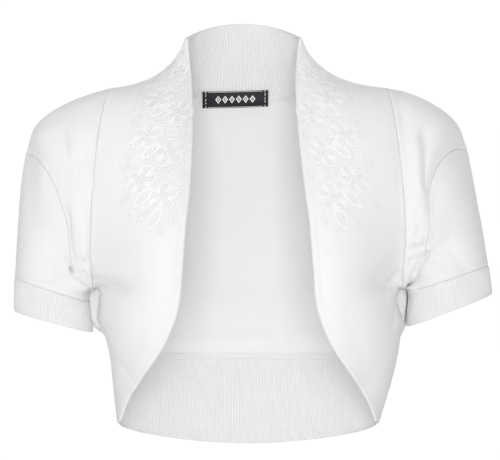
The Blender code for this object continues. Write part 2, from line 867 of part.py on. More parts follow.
def add_label(pieces):
    """The woven label: it lies inside over the collar seam, held at its ends."""
    trees = [surface(inner_grid(piece)) for piece in pieces if piece.name in ("collar", "back")]
    across = np.linspace(LABEL_MIDDLE_X - LABEL_HALF_WIDTH, LABEL_MIDDLE_X + LABEL_HALF_WIDTH,
                         LABEL_STEPS + 1)
    levels = LABEL_TOP_Z - LABEL_HEIGHT * np.array([0, LABEL_BEND, 1])
    behind = np.array([[depth_behind(trees, x, z) for x in across] for z in levels])
    mesh = bmesh.new()
    sheets = []
    for depth in (LABEL_CLEARANCE, LABEL_CLEARANCE + LABEL_THICKNESS):
        rows = [[(x, y - depth, z) for x, y in zip(across, line)] for line, z in zip(behind, levels)]
        sheets.append(add_faces(mesh, np.array(rows), closed=False))
    for one, other in zip(rims(sheets[0], False), rims(sheets[1], False)):
        zip_lines(mesh, one, other)
    face_outwards(mesh)
    add_object("label", mesh, LABEL_BLACK)


def turned(points, degrees):
    turn = math.radians(degrees)
    across = np.array([math.cos(turn), -math.sin(turn)])
    down = np.array([math.sin(turn), math.cos(turn)])
    return np.stack([points @ across, points @ down], axis=1)


def flower_outline(radius, turn):
    petals = [(angle + 360 / PETALS * k, reach) for k in range(PETALS)
              for angle, reach in zip(PETAL["angle"], PETAL["radius"])]
    angles, reach = np.array(petals).T
    angles = np.radians(angles)
    points = np.stack([np.sin(angles) * reach, np.cos(angles) * reach], axis=1)
    return turned(points * radius, turn)


def cord_lines():
    """The lines of the applique's cords, flat, and whether each closes on itself."""
    for across, down, radius, turn in zip(*FLOWERS.values()):
        yield flower_outline(radius, turn) + (across, down), True
    for across, down, length, turn in zip(*LEAVES.values()):
        outline = np.stack([LEAF["side"], LEAF["along"]], axis=1) * length
        yield turned(outline, turn) + (across, down), True
    flowers = list(zip(FLOWERS["across"], FLOWERS["down"], FLOWERS["radius"]))
    for (*one, here), (*other, there) in zip(flowers, flowers[1:]):
        run = unit(np.subtract(other, one))
        start, end = one + STEM_REACH * here * run, other - STEM_REACH * there * run
        middle = (start + end) / 2 + STEM_BOW * run[::-1]
        yield np.array([start, middle, end]), False


def cord_strip(line, closed):
    """The two sides of a flat cord along a line."""
    if closed:
        before, after = np.roll(line, 1, axis=0), np.roll(line, -1, axis=0)
    else:
        before, after = np.array([line[0], *line[:-1]]), np.array([*line[1:], line[-1]])
    quarter = np.array([[0, -1], [1, 0]])
    arriving, leaving = unit(line - before) @ quarter, unit(after - line) @ quarter
    middle = unit(arriving + leaving)
    cosine = np.maximum((middle * leaving).sum(axis=1), (middle * arriving).sum(axis=1))
    side = middle * (CORD_WIDTH / 2 / np.maximum(cosine, SHARPEST_CORD))[:, None]
    return line + side, line - side


def united_cords():
    """The flat shape of all the cords laid over each other: its points and triangles."""
    points, quads = [], []
    for line, closed in cord_lines():
        one, other = cord_strip(line, closed)
        start, count = len(points), len(line)
        points += [Vector(place) for pair in zip(one, other) for place in pair]
        for k in range(count if closed else count - 1):
            here, there = start + 2 * k, start + 2 * ((k + 1) % count)
            quads.append([here, there, there + 1, here + 1])
    found = delaunay_2d_cdt(points, [], quads, 1, CORD_MERGE)
    flat, triangles, sources = found[0], found[2], found[5]
    kept = [triangle for triangle, source in zip(triangles, sources) if source]
    return np.array(flat), kept


def on_panel(piece, across, down):
    """The place and the normal on a front at a distance from its edge and its top."""
    edge = piece.grid[:, 0]
    edge_length = share_of_length(edge) * np.linalg.norm(np.diff(edge, axis=0), axis=1).sum()
    row = np.interp(down, edge_length, np.arange(len(edge)))
    low = min(int(row), len(edge) - 2)
    share = row - low
    line = (1 - share) * piece.grid[low] + share * piece.grid[low + 1]
    normals = (1 - share) * piece.normals[low] + share * piece.normals[low + 1]
    length = np.concatenate([[0], np.cumsum(np.linalg.norm(np.diff(line, axis=0), axis=1))])
    place = np.array([np.interp(across, length, column) for column in line.T])
    normal = np.array([np.interp(across, length, column) for column in normals.T])
    return place, unit(normal)


def add_applique(piece, name):
    flat, triangles = united_cords()
    places = [on_panel(piece, across, down) for across, down in flat]
    mesh = bmesh.new()
    sheets = [
        [mesh.verts.new((place + height * normal) * METRES) for place, normal in places]
        for height in (CORD_CLEARANCE, CORD_CLEARANCE + CORD_THICKNESS)
    ]
    lower, upper = sheets
    sides = {}
    for a, b, c in triangles:
        mesh.faces.new((upper[a], upper[b], upper[c]))
        mesh.faces.new((lower[c], lower[b], lower[a]))
        for start, end in ((a, b), (b, c), (c, a)):
            if sides.pop((end, start), None) is None:
                sides[(start, end)] = True
    for start, end in sides:
        mesh.faces.new((upper[start], lower[start], lower[end], upper[end]))
    bmesh.ops.delete(mesh, geom=[v for v in mesh.verts if not v.link_faces], context="VERTS")
    face_outwards(mesh)
    add_object(name, mesh, CORD_WHITE)


def clear_scene():
    for thing in list(bpy.data.objects):
        bpy.data.objects.remove(thing)


def main():
    clear_scene()
    pieces = cut_pieces()
    sew(pieces)
    for piece in pieces:
        add_wall(piece)
    add_label(pieces)
    for piece in pieces:
        if piece.name.startswith("front"):
            add_applique(piece, piece.name.replace("front", "applique"))


main()
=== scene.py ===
"""The finish of a short-sleeved bolero jacket in white jersey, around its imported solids.

It is laid out as an add-on and is run as a script. Each operator makes one group of
pieces: the jersey panels, the ribbed bands, the seams inside, the corded applique, the
woven label and the stage. The tables give the cut in millimetres, in the frame of the
solids: the wearer faces -Y, +X is the wearer's left and +Z is up. They become metres where
a mesh is made.
"""

import contextlib
import functools
import json
import math

import bmesh
import bpy
import numpy as np
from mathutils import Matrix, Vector, noise
from mathutils.bvhtree import BVHTree
from mathutils.kdtree import KDTree

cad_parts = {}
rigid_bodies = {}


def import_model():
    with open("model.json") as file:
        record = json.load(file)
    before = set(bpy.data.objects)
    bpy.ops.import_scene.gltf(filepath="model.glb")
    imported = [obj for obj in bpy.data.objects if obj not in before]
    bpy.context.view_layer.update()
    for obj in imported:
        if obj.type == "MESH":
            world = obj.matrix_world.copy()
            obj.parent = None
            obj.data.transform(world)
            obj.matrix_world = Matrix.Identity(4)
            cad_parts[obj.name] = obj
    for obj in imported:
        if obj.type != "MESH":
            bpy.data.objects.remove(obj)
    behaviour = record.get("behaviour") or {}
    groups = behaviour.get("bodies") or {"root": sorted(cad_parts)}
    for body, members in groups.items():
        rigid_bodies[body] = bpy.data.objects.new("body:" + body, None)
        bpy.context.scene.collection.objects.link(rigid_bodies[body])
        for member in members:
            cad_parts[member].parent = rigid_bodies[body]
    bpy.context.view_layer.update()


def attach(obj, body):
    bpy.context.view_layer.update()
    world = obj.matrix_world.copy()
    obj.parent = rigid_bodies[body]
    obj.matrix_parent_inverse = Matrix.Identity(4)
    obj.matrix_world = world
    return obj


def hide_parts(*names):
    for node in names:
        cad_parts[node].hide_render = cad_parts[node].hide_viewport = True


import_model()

bl_info = {
    "name": "Bolero Jacket Finish",
    "version": (1, 0, 0),
    "blender": (4, 5, 0),
    "location": "View3D > Sidebar > Jacket",
    "description": "Jersey, ribs, seams, corded applique and label for the bolero jacket",
    "category": "Object",
}

METRES = 0.001
SIDES = ("left", "right")
CLOTH_MAP = "UVMap"

# How the cut is divided, as in the solids. Panels that share a seam share its points.
RIDGE_STEPS = 9
NECK_END_STEPS = 3
NECK_STEPS = 6
LOOP_STEPS = 36
SIDE_STEPS_ABOVE_BAND = 6
SIDE_STEPS_BESIDE_BAND = 4
CAP_STEPS = 5
SLEEVE_STEPS = 6
BACK_TOP_ROWS = 6
SAME_POINT = 0.01
SEAM_EVENINGS = 2

# The neck sits a little towards the wearer's right, and stands straight over the bust.
NECK_LEAN = -6.0
LEAN_FROM_Z = -160.0
LEAN_TO_Z = 40.0
LEAN_HALF_WIDTH = 140.0

# Where the main points are, on the wearer's left
NECK_TOP = (60.5, 5.0, 40.0)
SHOULDER_TIP = (143.0, 5.0, -14.0)
NAPE = (0.0, 78.0, -22.0)
COLLAR_TOP_BACK = (0.0, 66.0, 59.0)
HEM_BOTTOM_BACK = (0.0, 92.0, -395.0)

# The ways in which lines leave or reach a point, as heading and dip in degrees: heading
# turns from straight outwards towards the back, and dip is downwards
STRAIGHT_ACROSS = (0, 0)
RIDGE_LEAVES = (0, 74)
RIDGE_ARRIVES = (0, 4)
NECK_SEAM_ARRIVES = (-80, -32)
COLLAR_TOP_ARRIVES = (-84, 6)
HEM_BOTTOM_ARRIVES = (-90, -14)

# How far a curve holds to the ways in which it leaves and arrives, by share of its span
ROW_REACH = 0.36
NECK_SEAM_REACH = 0.5
COLLAR_TOP_REACH = 0.42
CURVE_STEPS = 24
SMOOTH_STEPS = 12


def table(text):
    """Rows of numbers as a dict of columns, from text with a line of column names."""
    lines = [line.split() for line in text.strip().splitlines()]
    names, rows = lines[0], lines[1:]
    width = len(names)
    values = np.array([[float(word) for word in row[-width:]] for row in rows])
    return {name: values[:, k] for k, name in enumerate(names)}


# The front edge of a front, from the collar's corner to the hem's tip, and the way that the
# cloth leaves it
FRONT_EDGE = table("""
    x     y    z    heading dip
    60.5  5    40   -10     74
    54.5  -12  9    -52     40
    52.5  -38  -28  -46     16
    53.6  -66  -74  -34     4
    57.5  -92  -123 -26     0
    62    -108 -163 -24     0
    66    -118 -217 -20     0
    68.5  -119 -240 -17     0
    77    -116 -265 -8      0
    88    -108 -286 8       0
    105   -90  -310 28      0
    122   -62  -334 48      0
    134.5 -22  -362 82      0
""")

# The middle of the back from the collar seam to the hem band
BACK_MIDDLE = table("""
    x y   z
    0 78  -22
    0 88  -50
    0 99  -100
    0 106 -160
    0 105 -215
    0 99  -262
    0 95  -303
""")

# The way that the body's cloth reaches the armhole and the side, by share of the way down
# the armhole
OUTER_LINE = table("""
    down heading dip
    0    0       4
    0.2  24      12
    0.4  36      8
    0.65 48      3
    0.9  66      0
    1    90      0
""")

# The side seam from the armpit down: how far out it is on the wearer's right and left
SIDE_SEAM = table("""
    right left  y   z
    158   158   5   -223
    156.4 157.4 4   -227.5
    156   156.5 3   -236
    155.3 158.3 2   -250
    153   160   2.5 -264
    148   159.5 4   -280
    143.5 155.5 5   -303
    140.5 147   5   -334.5
    137   137   5   -366
""")

# Sections round the sleeve, from the armhole to the cuff's edge. Each is an oval through a
# top and a low point, with its depth in front and behind. swell and skew bend its front
# sideways: swell most at mid height, skew out above and in below.
SLEEVE_RIGHT = table("""
              top_x top_z low_x low_z  front back swell skew
    armhole   143   -14   158   -223   64    66   9     0
    cap_1     166   -20   161.5 -223   66    68   7     -2
    cap_2     189   -29   164   -223.5 68    69   2     -4
    cap_3     209   -40   166   -224.5 68    69   -3    -5
    cap_4     225   -57   167   -226   66    67   -8    -7
    seam      234   -86   167.5 -228   63    65   -12   -8
    upper     238.5 -114  167.8 -230.5 60    62   -8    -5
    middle    241.5 -150  168   -233   56    58   -4    -3
    lower     243.5 -184  168   -235.5 52    54   -1    -1
    cuff_top  245   -213  167.5 -238   48    50   0     0
    cuff_edge 245.5 -248  163   -270   46    48   0     0
""")
SLEEVE_LEFT = table("""
              top_x top_z low_x low_z  front back swell skew
    armhole   143   -14   158   -223   64    66   9     0
    cap_1     165   -18   161.5 -221.5 66    68   6     -2
    cap_2     187   -26   164.3 -220   68    69   0     -4
    cap_3     207   -38   166.8 -219   68    69   -6    -6
    cap_4     222   -54   168.6 -218.8 66    67   -11   -9
    seam      231   -80   170   -219.4 63    65   -15   -12
    upper     237   -108  170.8 -220.9 60    62   -10   -8
    middle    243   -142  171   -222.8 56    58   -5    -4
    lower     248.5 -173  170.8 -224.8 52    54   -2    -2
    cuff_top  252   -200  170   -227   48    50   0     0
    cuff_edge 256.5 -230  166.5 -264   46    48   0     0
""")
SLEEVE_MIDDLE_Y = 5.0
BACK_SWELL_SHARE = 0.5

# How the back hangs full behind the side seam: it turns this many degrees more on its way
# to the seam, and so stands out past it.
BACK_FULLNESS = table("""
    z      right left
    -303   0     0
    -280   7     8
    -264   42    36
    -250   53    48
    -236   58    56
    -228.5 57    57
    -223   15    15
    -221   0     0
""")

# The back is evened out from row to row below the armholes, up to this share of the way to
# its outer edge
EASED_BELOW_Z = -200.0
EASED_FALL = 15.0
EASED_WITHIN = 0.88
EASED_FADE = 0.25
EASINGS = 10

# A fold lies on the cloth that faces its side of the garment. It fades over the edge
# between front and back this sharply, from this share of its height.
FOLD_WRAP = 0.25
FOLD_FADE = 1.5

# The largest folds, each a soft trough or ridge along a line seen from in front, from
# (x, z) to (to_x, to_z). side is -1 on the front of the garment, 1 on its back.
FOLDS_RIGHT = table("""
    x   z    to_x to_z side width height
    196 -48  186  -150 -1   13    -4.5
    174 -88  163  -122 -1   10    -3.5
    214 -64  214  -112 -1   12    2.5
    172 -135 172  -188 -1   11    3
    190 -165 182  -205 -1   11    -4.5
    214 -150 205  -215 -1   12    -2.5
    200 -60  178  -160 1    14    -4.5
    180 -160 176  -205 1    11    -3.5
    222 -110 214  -200 1    14    -3
""")
FOLDS_LEFT = table("""
    x   z    to_x to_z side width height
    187 -66  186  -128 -1   13    -4
    158 -40  158  -110 -1   11    -2
    172 -80  174  -140 -1   11    3
    168 -168 192  -162 -1   10    3
    172 -188 200  -180 -1   10    -4
    200 -52  184  -150 1    14    -4
    180 -150 176  -200 1    11    -3.5
    232 -110 226  -190 1    14    -3
""")
FOLDS_BODY = table("""
    x    z    to_x to_z side width height
    -160 -206 -134 -204 -1   11    2.5
    -158 -226 -132 -222 -1   10    -3.5
    158  -196 138  -214 -1   11    -3
    -128 -320 -108 -250 -1   15    -2.5
    124  -322 106  -250 -1   15    -2.5
    -110 -150 -70  -262 1    18    -4
    116  -160 66   -270 1    18    -4
""")

# The woven label, over the collar seam
LABEL_MIDDLE_X = -13.7
LABEL_HALF_WIDTH = 35.5
LABEL_TOP_Z = -13.0
LABEL_TILT = 0.03
LABEL_HEIGHT = 17.6
LABEL_THICKNESS = 0.6
LABEL_CLEARANCE = 0.35
LABEL_BOW = 0.7
LABEL_BORDER = 1.6
LABEL_CELL = 1.1
LABEL_EDGE_STITCHES = 5
LABEL_STITCH_LENGTH = 1.5
LABEL_STITCH_LEAD = (0.1, 0.0, 1.0)
LABEL_SEEN_FROM_Y = -40.0
LABEL_EVENINGS = 3
LABEL_WARP = 0.5
LABEL_WEFT = 0.42
DIAMOND_PITCH = 7.4
DIAMOND_HALF_HEIGHT = 4.6
DIAMONDS_HALF_LENGTH = 22.2

# The corded applique of a front, on the cloth: across is millimetres from the front edge
# and down is millimetres from the shoulder line. turn is in degrees.
FLOWERS = table("""
    across down radius turn
    20     31   13     10
    44     62   16.5   30
    21     92   16.5   0
    54     112  16.5   20
    27     142  17     40
    56     167  16.5   10
    30     194  16.5   35
""")
LEAVES = table("""
    across down length turn
    32     46   22     -120
    32     46   20     50
    33     77   22     -65
    40     127  22     -50
    43     181  24     -45
    32     206  24     -20
""")

# How far light spreads inside the cloth, in metres, and the colours
LIGHT_SPREAD = 0.0022
JERSEY_WHITE = (0.905, 0.905, 0.91)
RIB_WHITE = (0.87, 0.871, 0.875)
CORD_WHITE = (0.995, 0.995, 0.995)
LABEL_BLACK = (0.012, 0.010, 0.016)
FLOOR_WHITE = (0.9, 0.9, 0.9)

# The stage, in metres
FLOOR_Z = -0.72
FLOOR_RADIUS = 2.4
BACKDROP_LIGHT = 1.02
ROOM_LIGHT = 0.405
LAMP_AIM = (0.0, 0.0, -0.15)
LAMPS = (
    ("key_light", (0.0, -3.4, 0.0), 1.2, 60.0),
    ("left_light", (-3.0, -0.5, 0.5), 1.8, 10.0),
    ("right_light", (3.0, -0.5, 0.3), 1.8, 2.2),
    ("top_light", (-0.4, -0.9, 3.0), 1.8, 12.0),
    ("back_light", (1.0, 3.0, 0.9), 1.6, 40.0),
)
CAMERA_PLACE = (0.0021, -2.6, -0.163)
CAMERA_LENS = 178.27

# What each panel is cut to: width and length in metres, and flat area in square metres
CUTS = {
    "back": (0.464, 0.399, 0.1134),
    "front_left": (0.173, 0.489, 0.0484),
    "front_right": (0.172, 0.490, 0.0471),
    "cap_left": (0.547, 0.119, 0.0249),
    "cap_right": (0.547, 0.125, 0.0268),
    "sleeve_left": (0.454, 0.126, 0.0228),
    "sleeve_right": (0.454, 0.129, 0.0228),
    "collar": (0.255, 0.082, 0.0140),
    "hem_band": (0.384, 0.092, 0.0303),
    "cuff_left": (0.298, 0.039, 0.0097),
    "cuff_right": (0.282, 0.035, 0.0092),
}

# How a free edge thins, and how thick the doubled front edge is
FREE_DIP = table("""
    distance depth
    0        -0.35
    0.5      -0.1
    1.4      0
""")
FREE_LINES = FREE_DIP["distance"]
EDGE_FACING = table("""
    distance thickness
    0        2.6
    1        2.9
    6        2.9
    8        1.5
""")
# How much of the outer side's dip the inner side shares
INNER_DIP_SHARE = 0.6
SMOOTH_ANGLE = 62
SLOT_OF = {"jersey": "jersey", "rib": "rib_knit"}

# How far the map of a front reaches for the applique
MAP_DOWN = 262
MAP_ACROSS = 112

# The corded applique: two cords side by side round each flower and leaf, single ones inside
CORD_STEP = 0.7
CORD_TWIST = 4.4
CORD_LOBE = 0.27
# The share of the cord's colour left in the painted shade of the hollows between its strands
CORD_HOLLOW_SHADE = 0.88
CORD_SIDES = 6
CORD_END = 0.45
CORD_HEIGHT = 0.55
# Each kind of cord: its radius, and how far it runs beside its line
CORDS = {
    "pair": (0.76, (-0.8, 0.8)),
    "single": (0.68, (0.0,)),
    "vein": (0.5, (0.0,)),
}
# How high a cord sits on the cloth, by its radius, and how much higher where cords cross
CORD_SIT = 0.6
CORD_LIFT = 0.12
PETALS = 5
STEM_REACH = 0.35
STEM_BOW = 2.5
PETAL = table("""
    angle radius
    -36   0.38
    -31   0.58
    -23   0.84
    -12   0.97
    0     1
    12    0.97
    23    0.84
    31    0.58
""")
WAVY_PETAL = table("""
    angle radius
    -36   0.74
    -27   1.08
    -16   1.23
    -7    1.16
    0     1.24
    7     1.16
    16    1.23
    27    1.08
""")
INNER_PETAL = table("""
    angle radius
    -30   0.34
    -19   0.66
    0     0.8
    19    0.66
""")
LEAF = table("""
    along side
    0     0
    0.16  0.15
    0.38  0.25
    0.66  0.22
    0.88  0.09
    1     0
    0.88  -0.09
    0.66  -0.22
    0.38  -0.25
    0.16  -0.15
""")
PETAL_VEIN = ((0, 0.30), (0.03, 0.44), (0, 0.60))
LEAF_RIB = ((0, -0.08), (0.02, 0.3), (-0.01, 0.6), (0, 0.9))
SMALL_LEAVES = table("""
    across down length turn
    9      5    19     -25
    25     6    19     -55
    46     9    17     -80
    63     52   17     -150
    67     96   16     -160
    68     131  18     -50
    10     64   15     12
    11     116  16     8
    12     166  15     18
    68     186  17     -75
    47     206  18     -35
    19     214  17     10
    66     150  14     -100
""")
TENDRILS = table("""
    across down heading size way
    62     80   -20     9    1
    38     112  200     7    -1
    72     118  60      8    1
    9      84   100     7    -1
    8      138  80      7    1
    45     144  -70     7    1
    70     206  100     8    -1
    16     192  170     7    1
    40     22   -10     7    -1
    58     30   40      8    1
""")
TENDRIL_TURNS = 1.35
TENDRIL_POINTS = 14
STAMEN_REACH = 0.31
PETAL_BEAD_REACH = 0.66
PEARL_SIZE = 1.25
BEAD_SIZE = 0.72
BEAD_LEAD = (0.31, 0.22, 0.92)
SCATTERED_BEADS = 60
SCATTER_SEED = 11
SCATTER_DOWN = (6, 222)

# The part of a front that the applique covers, and the small motifs that fill it up: how many
# places are tried, how near to other cords they may lie and how large they are
COVER = table("""
    down first last
    4    7     30
    24   6     56
    50   6     72
    95   7     76
    130  12    76
    190  13    80
    222  12    62
    232  20    40
""")
FILLER_TRIES = 420
FILLER_SEED = 5
FILLER_STEP = 1.5
FILLER_REACH = 5.8
FILLER_MOST = 8.5
FILLER_SHARE = 0.8

# The overlocked allowances inside: how wide, how thick, and how they lie on the cloth
ALLOWANCE_LINES = (0.4, 1.8, 3.2, 4.6, 5.8)
ALLOWANCE_THICKNESS = 0.8
ALLOWANCE_CLEARANCE = 0.12
ALLOWANCE_LIFT = 0.25
ALLOWANCE_WAVE = 14.0
ALLOWANCE_WAVER = 0.5
OVERLOCK_RADIUS = 0.17
OVERLOCK_PITCH = 2.6
EDGE_STITCH_IN = 6.6
STITCH_LENGTH = 1.35
STITCH_PITCH = 3.1
STITCH_SLIMNESS = 0.28
THREAD_SIDES = 4


# Smaller creases that the solids leave out, in the same form as the folds
CREASES_RIGHT = table("""
    x     z    to_x  to_z side width height
    187   -194 179   -208 -1   2.6   -2.6
    179   -207 178   -211 -1   2.6   -5
    170.5 -150 168.5 -186 -1   3.6   1.8
    168.5 -186 165   -214 -1   3.8   3.6
    175   -186 174   -206 -1   4     1.6
    187   -150 180   -196 -1   5     -3.4
    202   -168 190   -214 -1   6     -2.2
    194   -60  184   -112 -1   6.5   -2.6
    170   -92  161   -116 -1   4.6   -2.6
    222   -92  226   -150 -1   9     -1.8
    162   -178 172   -174 -1   2.4   1.4
    161   -193 171   -188 -1   2.2   1.6
    160   -206 171   -202 -1   2.4   1.8
    162   -199 171   -195 -1   2     -1.5
    184   -214 206   -219 -1   3.4   -1.8
    160   -221 171   -223 1    4.5   4.5
    160   -221 171   -223 -1   4.5   8
    180   -64  168   -176 1    6     -2.4
    206   -120 190   -214 1    7     -2.2
    170   -188 188   -214 1    4.5   -3.2
""")
CREASES_LEFT = table("""
    x   z    to_x to_z side width height
    153 -172 170  -163 -1   3.8   -3.2
    170 -163 190  -168 -1   4.2   -2.6
    160 -181 176  -175 -1   3.4   2
    163 -191 187  -183 -1   3.8   3.8
    173 -207 185  -188 -1   2.6   -4.2
    180 -206 190  -192 -1   4     1.8
    166 -214 160  -200 -1   2.8   2.4
    183 -66  184  -116 -1   6.5   -2.8
    160 -44  158  -112 -1   5     -2.4
    206 -176 226  -208 -1   6.5   -2.2
    188 -196 204  -216 -1   4     -2
    160 -221 171  -224 1    4.5   6
    160 -221 171  -224 -1   4.5   11
    182 -60  168  -170 1    6     -2.4
    208 -116 194  -204 1    7     -2.2
    172 -184 190  -206 1    4.5   -3.2
""")
CREASES_BODY = table("""
    x    z    to_x to_z   side width height
    -153 -223 -138 -219.5 -1   3     -4.6
    -164 -217 -150 -218   -1   3.4   2.8
    -162 -207 -140 -204   -1   4.6   2.2
    -163 -222 -156 -266   1    6     4.5
    -163 -222 -156 -262   -1   4.5   9
    -157 -226 -160 -238   -1   3     -2
    -156 -240 -151 -268   -1   3.6   -2.6
    -159 -252 -154 -256   -1   2.8   1.6
    160  -206 146  -222   -1   4     -3.6
    163  -221 159  -264   1    6     7.5
    163  -221 160  -258   -1   4     5
    158  -218 146  -232   -1   3.6   2
    157  -232 150  -262   -1   4     -2.6
    -141 -292 -114 -324   -1   5     -1.2
    138  -296 118  -330   -1   6     -1.1
    -96  -232 -120 -262   -1   14    1
    -120 -168 -76  -226   1    8     -2.2
    128  -176 84   -238   1    8     -2.2
    -30  -284 44   -279   1    7     -1
    -140 -190 -112 -214   1    6     -2.4
    142  -188 116  -216   1    6     -2.4
    -74  -60  -104 -112   1    12    -1.6
    78   -62  106  -108   1    12    -1.6
""")

# Both sides of an armhole move by the mean of their folds, and each by its own this far
# from the seam
SHARED_FOLD_REACH = 9.0

# The light unevenness of cloth that hangs: the size of its waves, how deep they are and
# where in the noise they start
RIPPLES = (
    (62.0, 0.55, (3.1, 7.7, 1.3)),
    (24.0, 0.16, (11.9, 2.3, 5.1)),
)

# How a seam draws the cloth in: depth of the outer side by distance from the seam
SEAM_DIP = table("""
    distance depth
    0        -0.42
    0.8      0
    1.8      0.42
    3.2      0.42
    6        0
""")
SEAM_LINES = (0.0, 0.8, 1.8, 3.2, 5.2)
PUCKER_SIZE = 7.0
PUCKER_SHARE = 0.35

# The doubled front edge: how the outer side rises and then rolls in towards the edge
EDGE_ROLL = table("""
    distance depth
    0        -1.5
    0.5      -0.6
    1.3      0
    2.4      0.45
    4        0.55
    5.6      0.35
    6.6      -0.2
    7.6      0
""")
EDGE_LINES = (*EDGE_ROLL["distance"], 9.5)

# The ribs: each has this many columns of points, at the wave's heights
RIB_COLUMNS = 4
RIB_WAVE = (0.0, 0.62, 1.0, 0.62)
RIB_WOBBLE = 0.07
RIB_WOBBLE_LENGTH = 14.0
WOBBLE_PLACE = 40.0
RIB_ROW_STRETCH = 1.6
RIB_UNEVEN = 0.12
RIB_NOISE_STEP = 0.9
RIB_NOISE_DEPTH = 1.6
RIB_MAP_PITCH = 3.0

# How much of their height the ribs have by distance from a free or a sewn edge
RIB_FADE = table("""
    distance free sewn
    0        0.15 0.35
    1.5      0.55 0.6
    4        1    1
""")


def rows_of(columns):
    return zip(*columns.values())


def columns_of(rows, *names):
    """The named columns of a table, side by side."""
    return np.stack([rows[name] for name in names], axis=1)


def looked_up(rows, name, at):
    """A column of a table, read between its rows by the table's first column."""
    return np.interp(at, next(iter(rows.values())), rows[name])


def curve_at(a, b, c, d, t):
    """The place at t, from 0 to 1, on the smooth curve from b to c, between a and d."""
    return 0.5 * (2 * b + (c - a) * t + (2 * a - 5 * b + 4 * c - d) * t**2
                  + (3 * b - a - 3 * c + d) * t**3)


def length_along(line):
    """How far along a line each of its points lies."""
    steps = np.linalg.norm(np.diff(line, axis=0), axis=1)
    return np.concatenate([[0], np.cumsum(steps)])


def read_at(at, marks, line):
    """The points of a line at places between its marks."""
    return np.stack([np.interp(at, marks, column) for column in line.T], axis=-1)


def along(knots, shares):
    """Points on the smooth curve through knots, at shares of its length. Any extra
    columns of the knots are carried along the curve too."""
    knots = np.asarray(knots, float)
    ends = [2 * knots[0] - knots[1], *knots, 2 * knots[-1] - knots[-2]]
    fine = [curve_at(*near, t) for near in zip(ends, ends[1:], ends[2:], ends[3:])
            for t in np.linspace(0, 1, CURVE_STEPS, endpoint=False)]
    fine = np.array([*fine, knots[-1]])
    length = length_along(fine[:, :3])
    return read_at(np.asarray(shares) * length[-1], length, fine)


def unit(vectors):
    return vectors / np.maximum(np.linalg.norm(vectors, axis=-1, keepdims=True), 1e-9)


def heading_vector(heading, dip):
    heading, dip = math.radians(heading), math.radians(dip)
    flat = math.cos(dip)
    return np.array([flat * math.cos(heading), flat * math.sin(heading), -math.sin(dip)])


def bowed_row(start, leaves, end, arrives, steps, reach=ROW_REACH):
    """A row of points from start to end that leaves and arrives with a heading and a dip."""
    start, end = np.array(start), np.array(end)
    hold = reach * np.linalg.norm(end - start)
    corners = [start, start + hold * heading_vector(*leaves),
               end - hold * heading_vector(*arrives), end]
    t = np.linspace(0, 1, steps + 1)[:, None]
    weights = [(1 - t) ** 3, 3 * t * (1 - t) ** 2, 3 * t**2 * (1 - t), t**3]
    return sum(w * c for w, c in zip(weights, corners))


def between(sections, row):
    """The numbers of a section that may lie between two rows of the table, on a smooth
    curve through the rows."""
    last = len(sections["top_x"]) - 1
    low = min(int(row), last - 1)
    near = (max(low - 1, 0), low, low + 1, min(low + 2, last))
    return {name: curve_at(*(column[k] for k in near), row - low)
            for name, column in sections.items()}


def sleeve_loop(sections, row):
    """One section round the sleeve, LOOP_STEPS points from its top, forwards and round."""
    part = between(sections, row)
    top = np.array([part["top_x"], part["top_z"]])
    low = np.array([part["low_x"], part["low_z"]])
    axis = (top - low) / 2
    outwards = np.array([axis[1], -axis[0]]) / np.linalg.norm(axis)
    loop = []
    for step in range(LOOP_STEPS):
        turn = 2 * math.pi * step / LOOP_STEPS
        forward = math.sin(turn)
        depth = part["front"] if forward > 0 else part["back"]
        share = 1 if forward > 0 else BACK_SWELL_SHARE
        from_top = min(turn, 2 * math.pi - turn)
        bend = share * (part["swell"] * abs(forward) + part["skew"] * math.sin(2 * from_top))
        x, z = (top + low) / 2 + axis * math.cos(turn) + outwards * bend
        loop.append((x, SLEEVE_MIDDLE_Y - depth * forward, z))
    return np.array(loop)


def ridge():
    """The line from the collar's top corner over the shoulder to the armhole's top."""
    return bowed_row(NECK_TOP, RIDGE_LEAVES, SHOULDER_TIP, RIDGE_ARRIVES, RIDGE_STEPS)


def neck_seam():
    """The collar seam from the middle of the back round to the shoulder seam."""
    return bowed_row(NAPE, STRAIGHT_ACROSS, ridge()[NECK_END_STEPS], NECK_SEAM_ARRIVES,
                     NECK_STEPS, NECK_SEAM_REACH)


def side_seam(side):
    return columns_of(SIDE_SEAM, side, "y", "z")


def outer_line(side, is_back):
    """The points where the front or the back meets the armhole and then the side seam, and
    how far each is down the armhole, from 0 to 1."""
    loop = sleeve_loop(SLEEVE_LEFT, 0)
    half = LOOP_STEPS // 2
    armhole = [loop[-k % LOOP_STEPS if is_back else k] for k in range(half + 1)]
    seam = side_seam(side)
    points = armhole + list(seam[1:SIDE_STEPS_ABOVE_BAND + 1])
    if not is_back:
        beside_band = seam[SIDE_STEPS_ABOVE_BAND:]
        at = np.linspace(0, 1, SIDE_STEPS_BESIDE_BAND + 1)[1:] * (len(beside_band) - 1)
        points += list(read_at(at, range(len(beside_band)), beside_band))
    return np.array(points), np.minimum(np.arange(len(points)) / half, 1)


def share_of_length(points):
    length = length_along(points)
    return length / length[-1]


def arrival(down):
    """The heading and the dip with which a row reaches the armhole or the side."""
    return looked_up(OUTER_LINE, "heading", down), looked_up(OUTER_LINE, "dip", down)


def front_grid(side):
    outer, down = outer_line(side, is_back=False)
    edge = along(columns_of(FRONT_EDGE, "x", "y", "z", "heading", "dip"), share_of_length(outer))
    rows = [bowed_row(edge[k][:3], edge[k][3:], outer[k], arrival(down[k]), RIDGE_STEPS)
            for k in range(1, len(outer))]
    return np.array([ridge(), *rows])


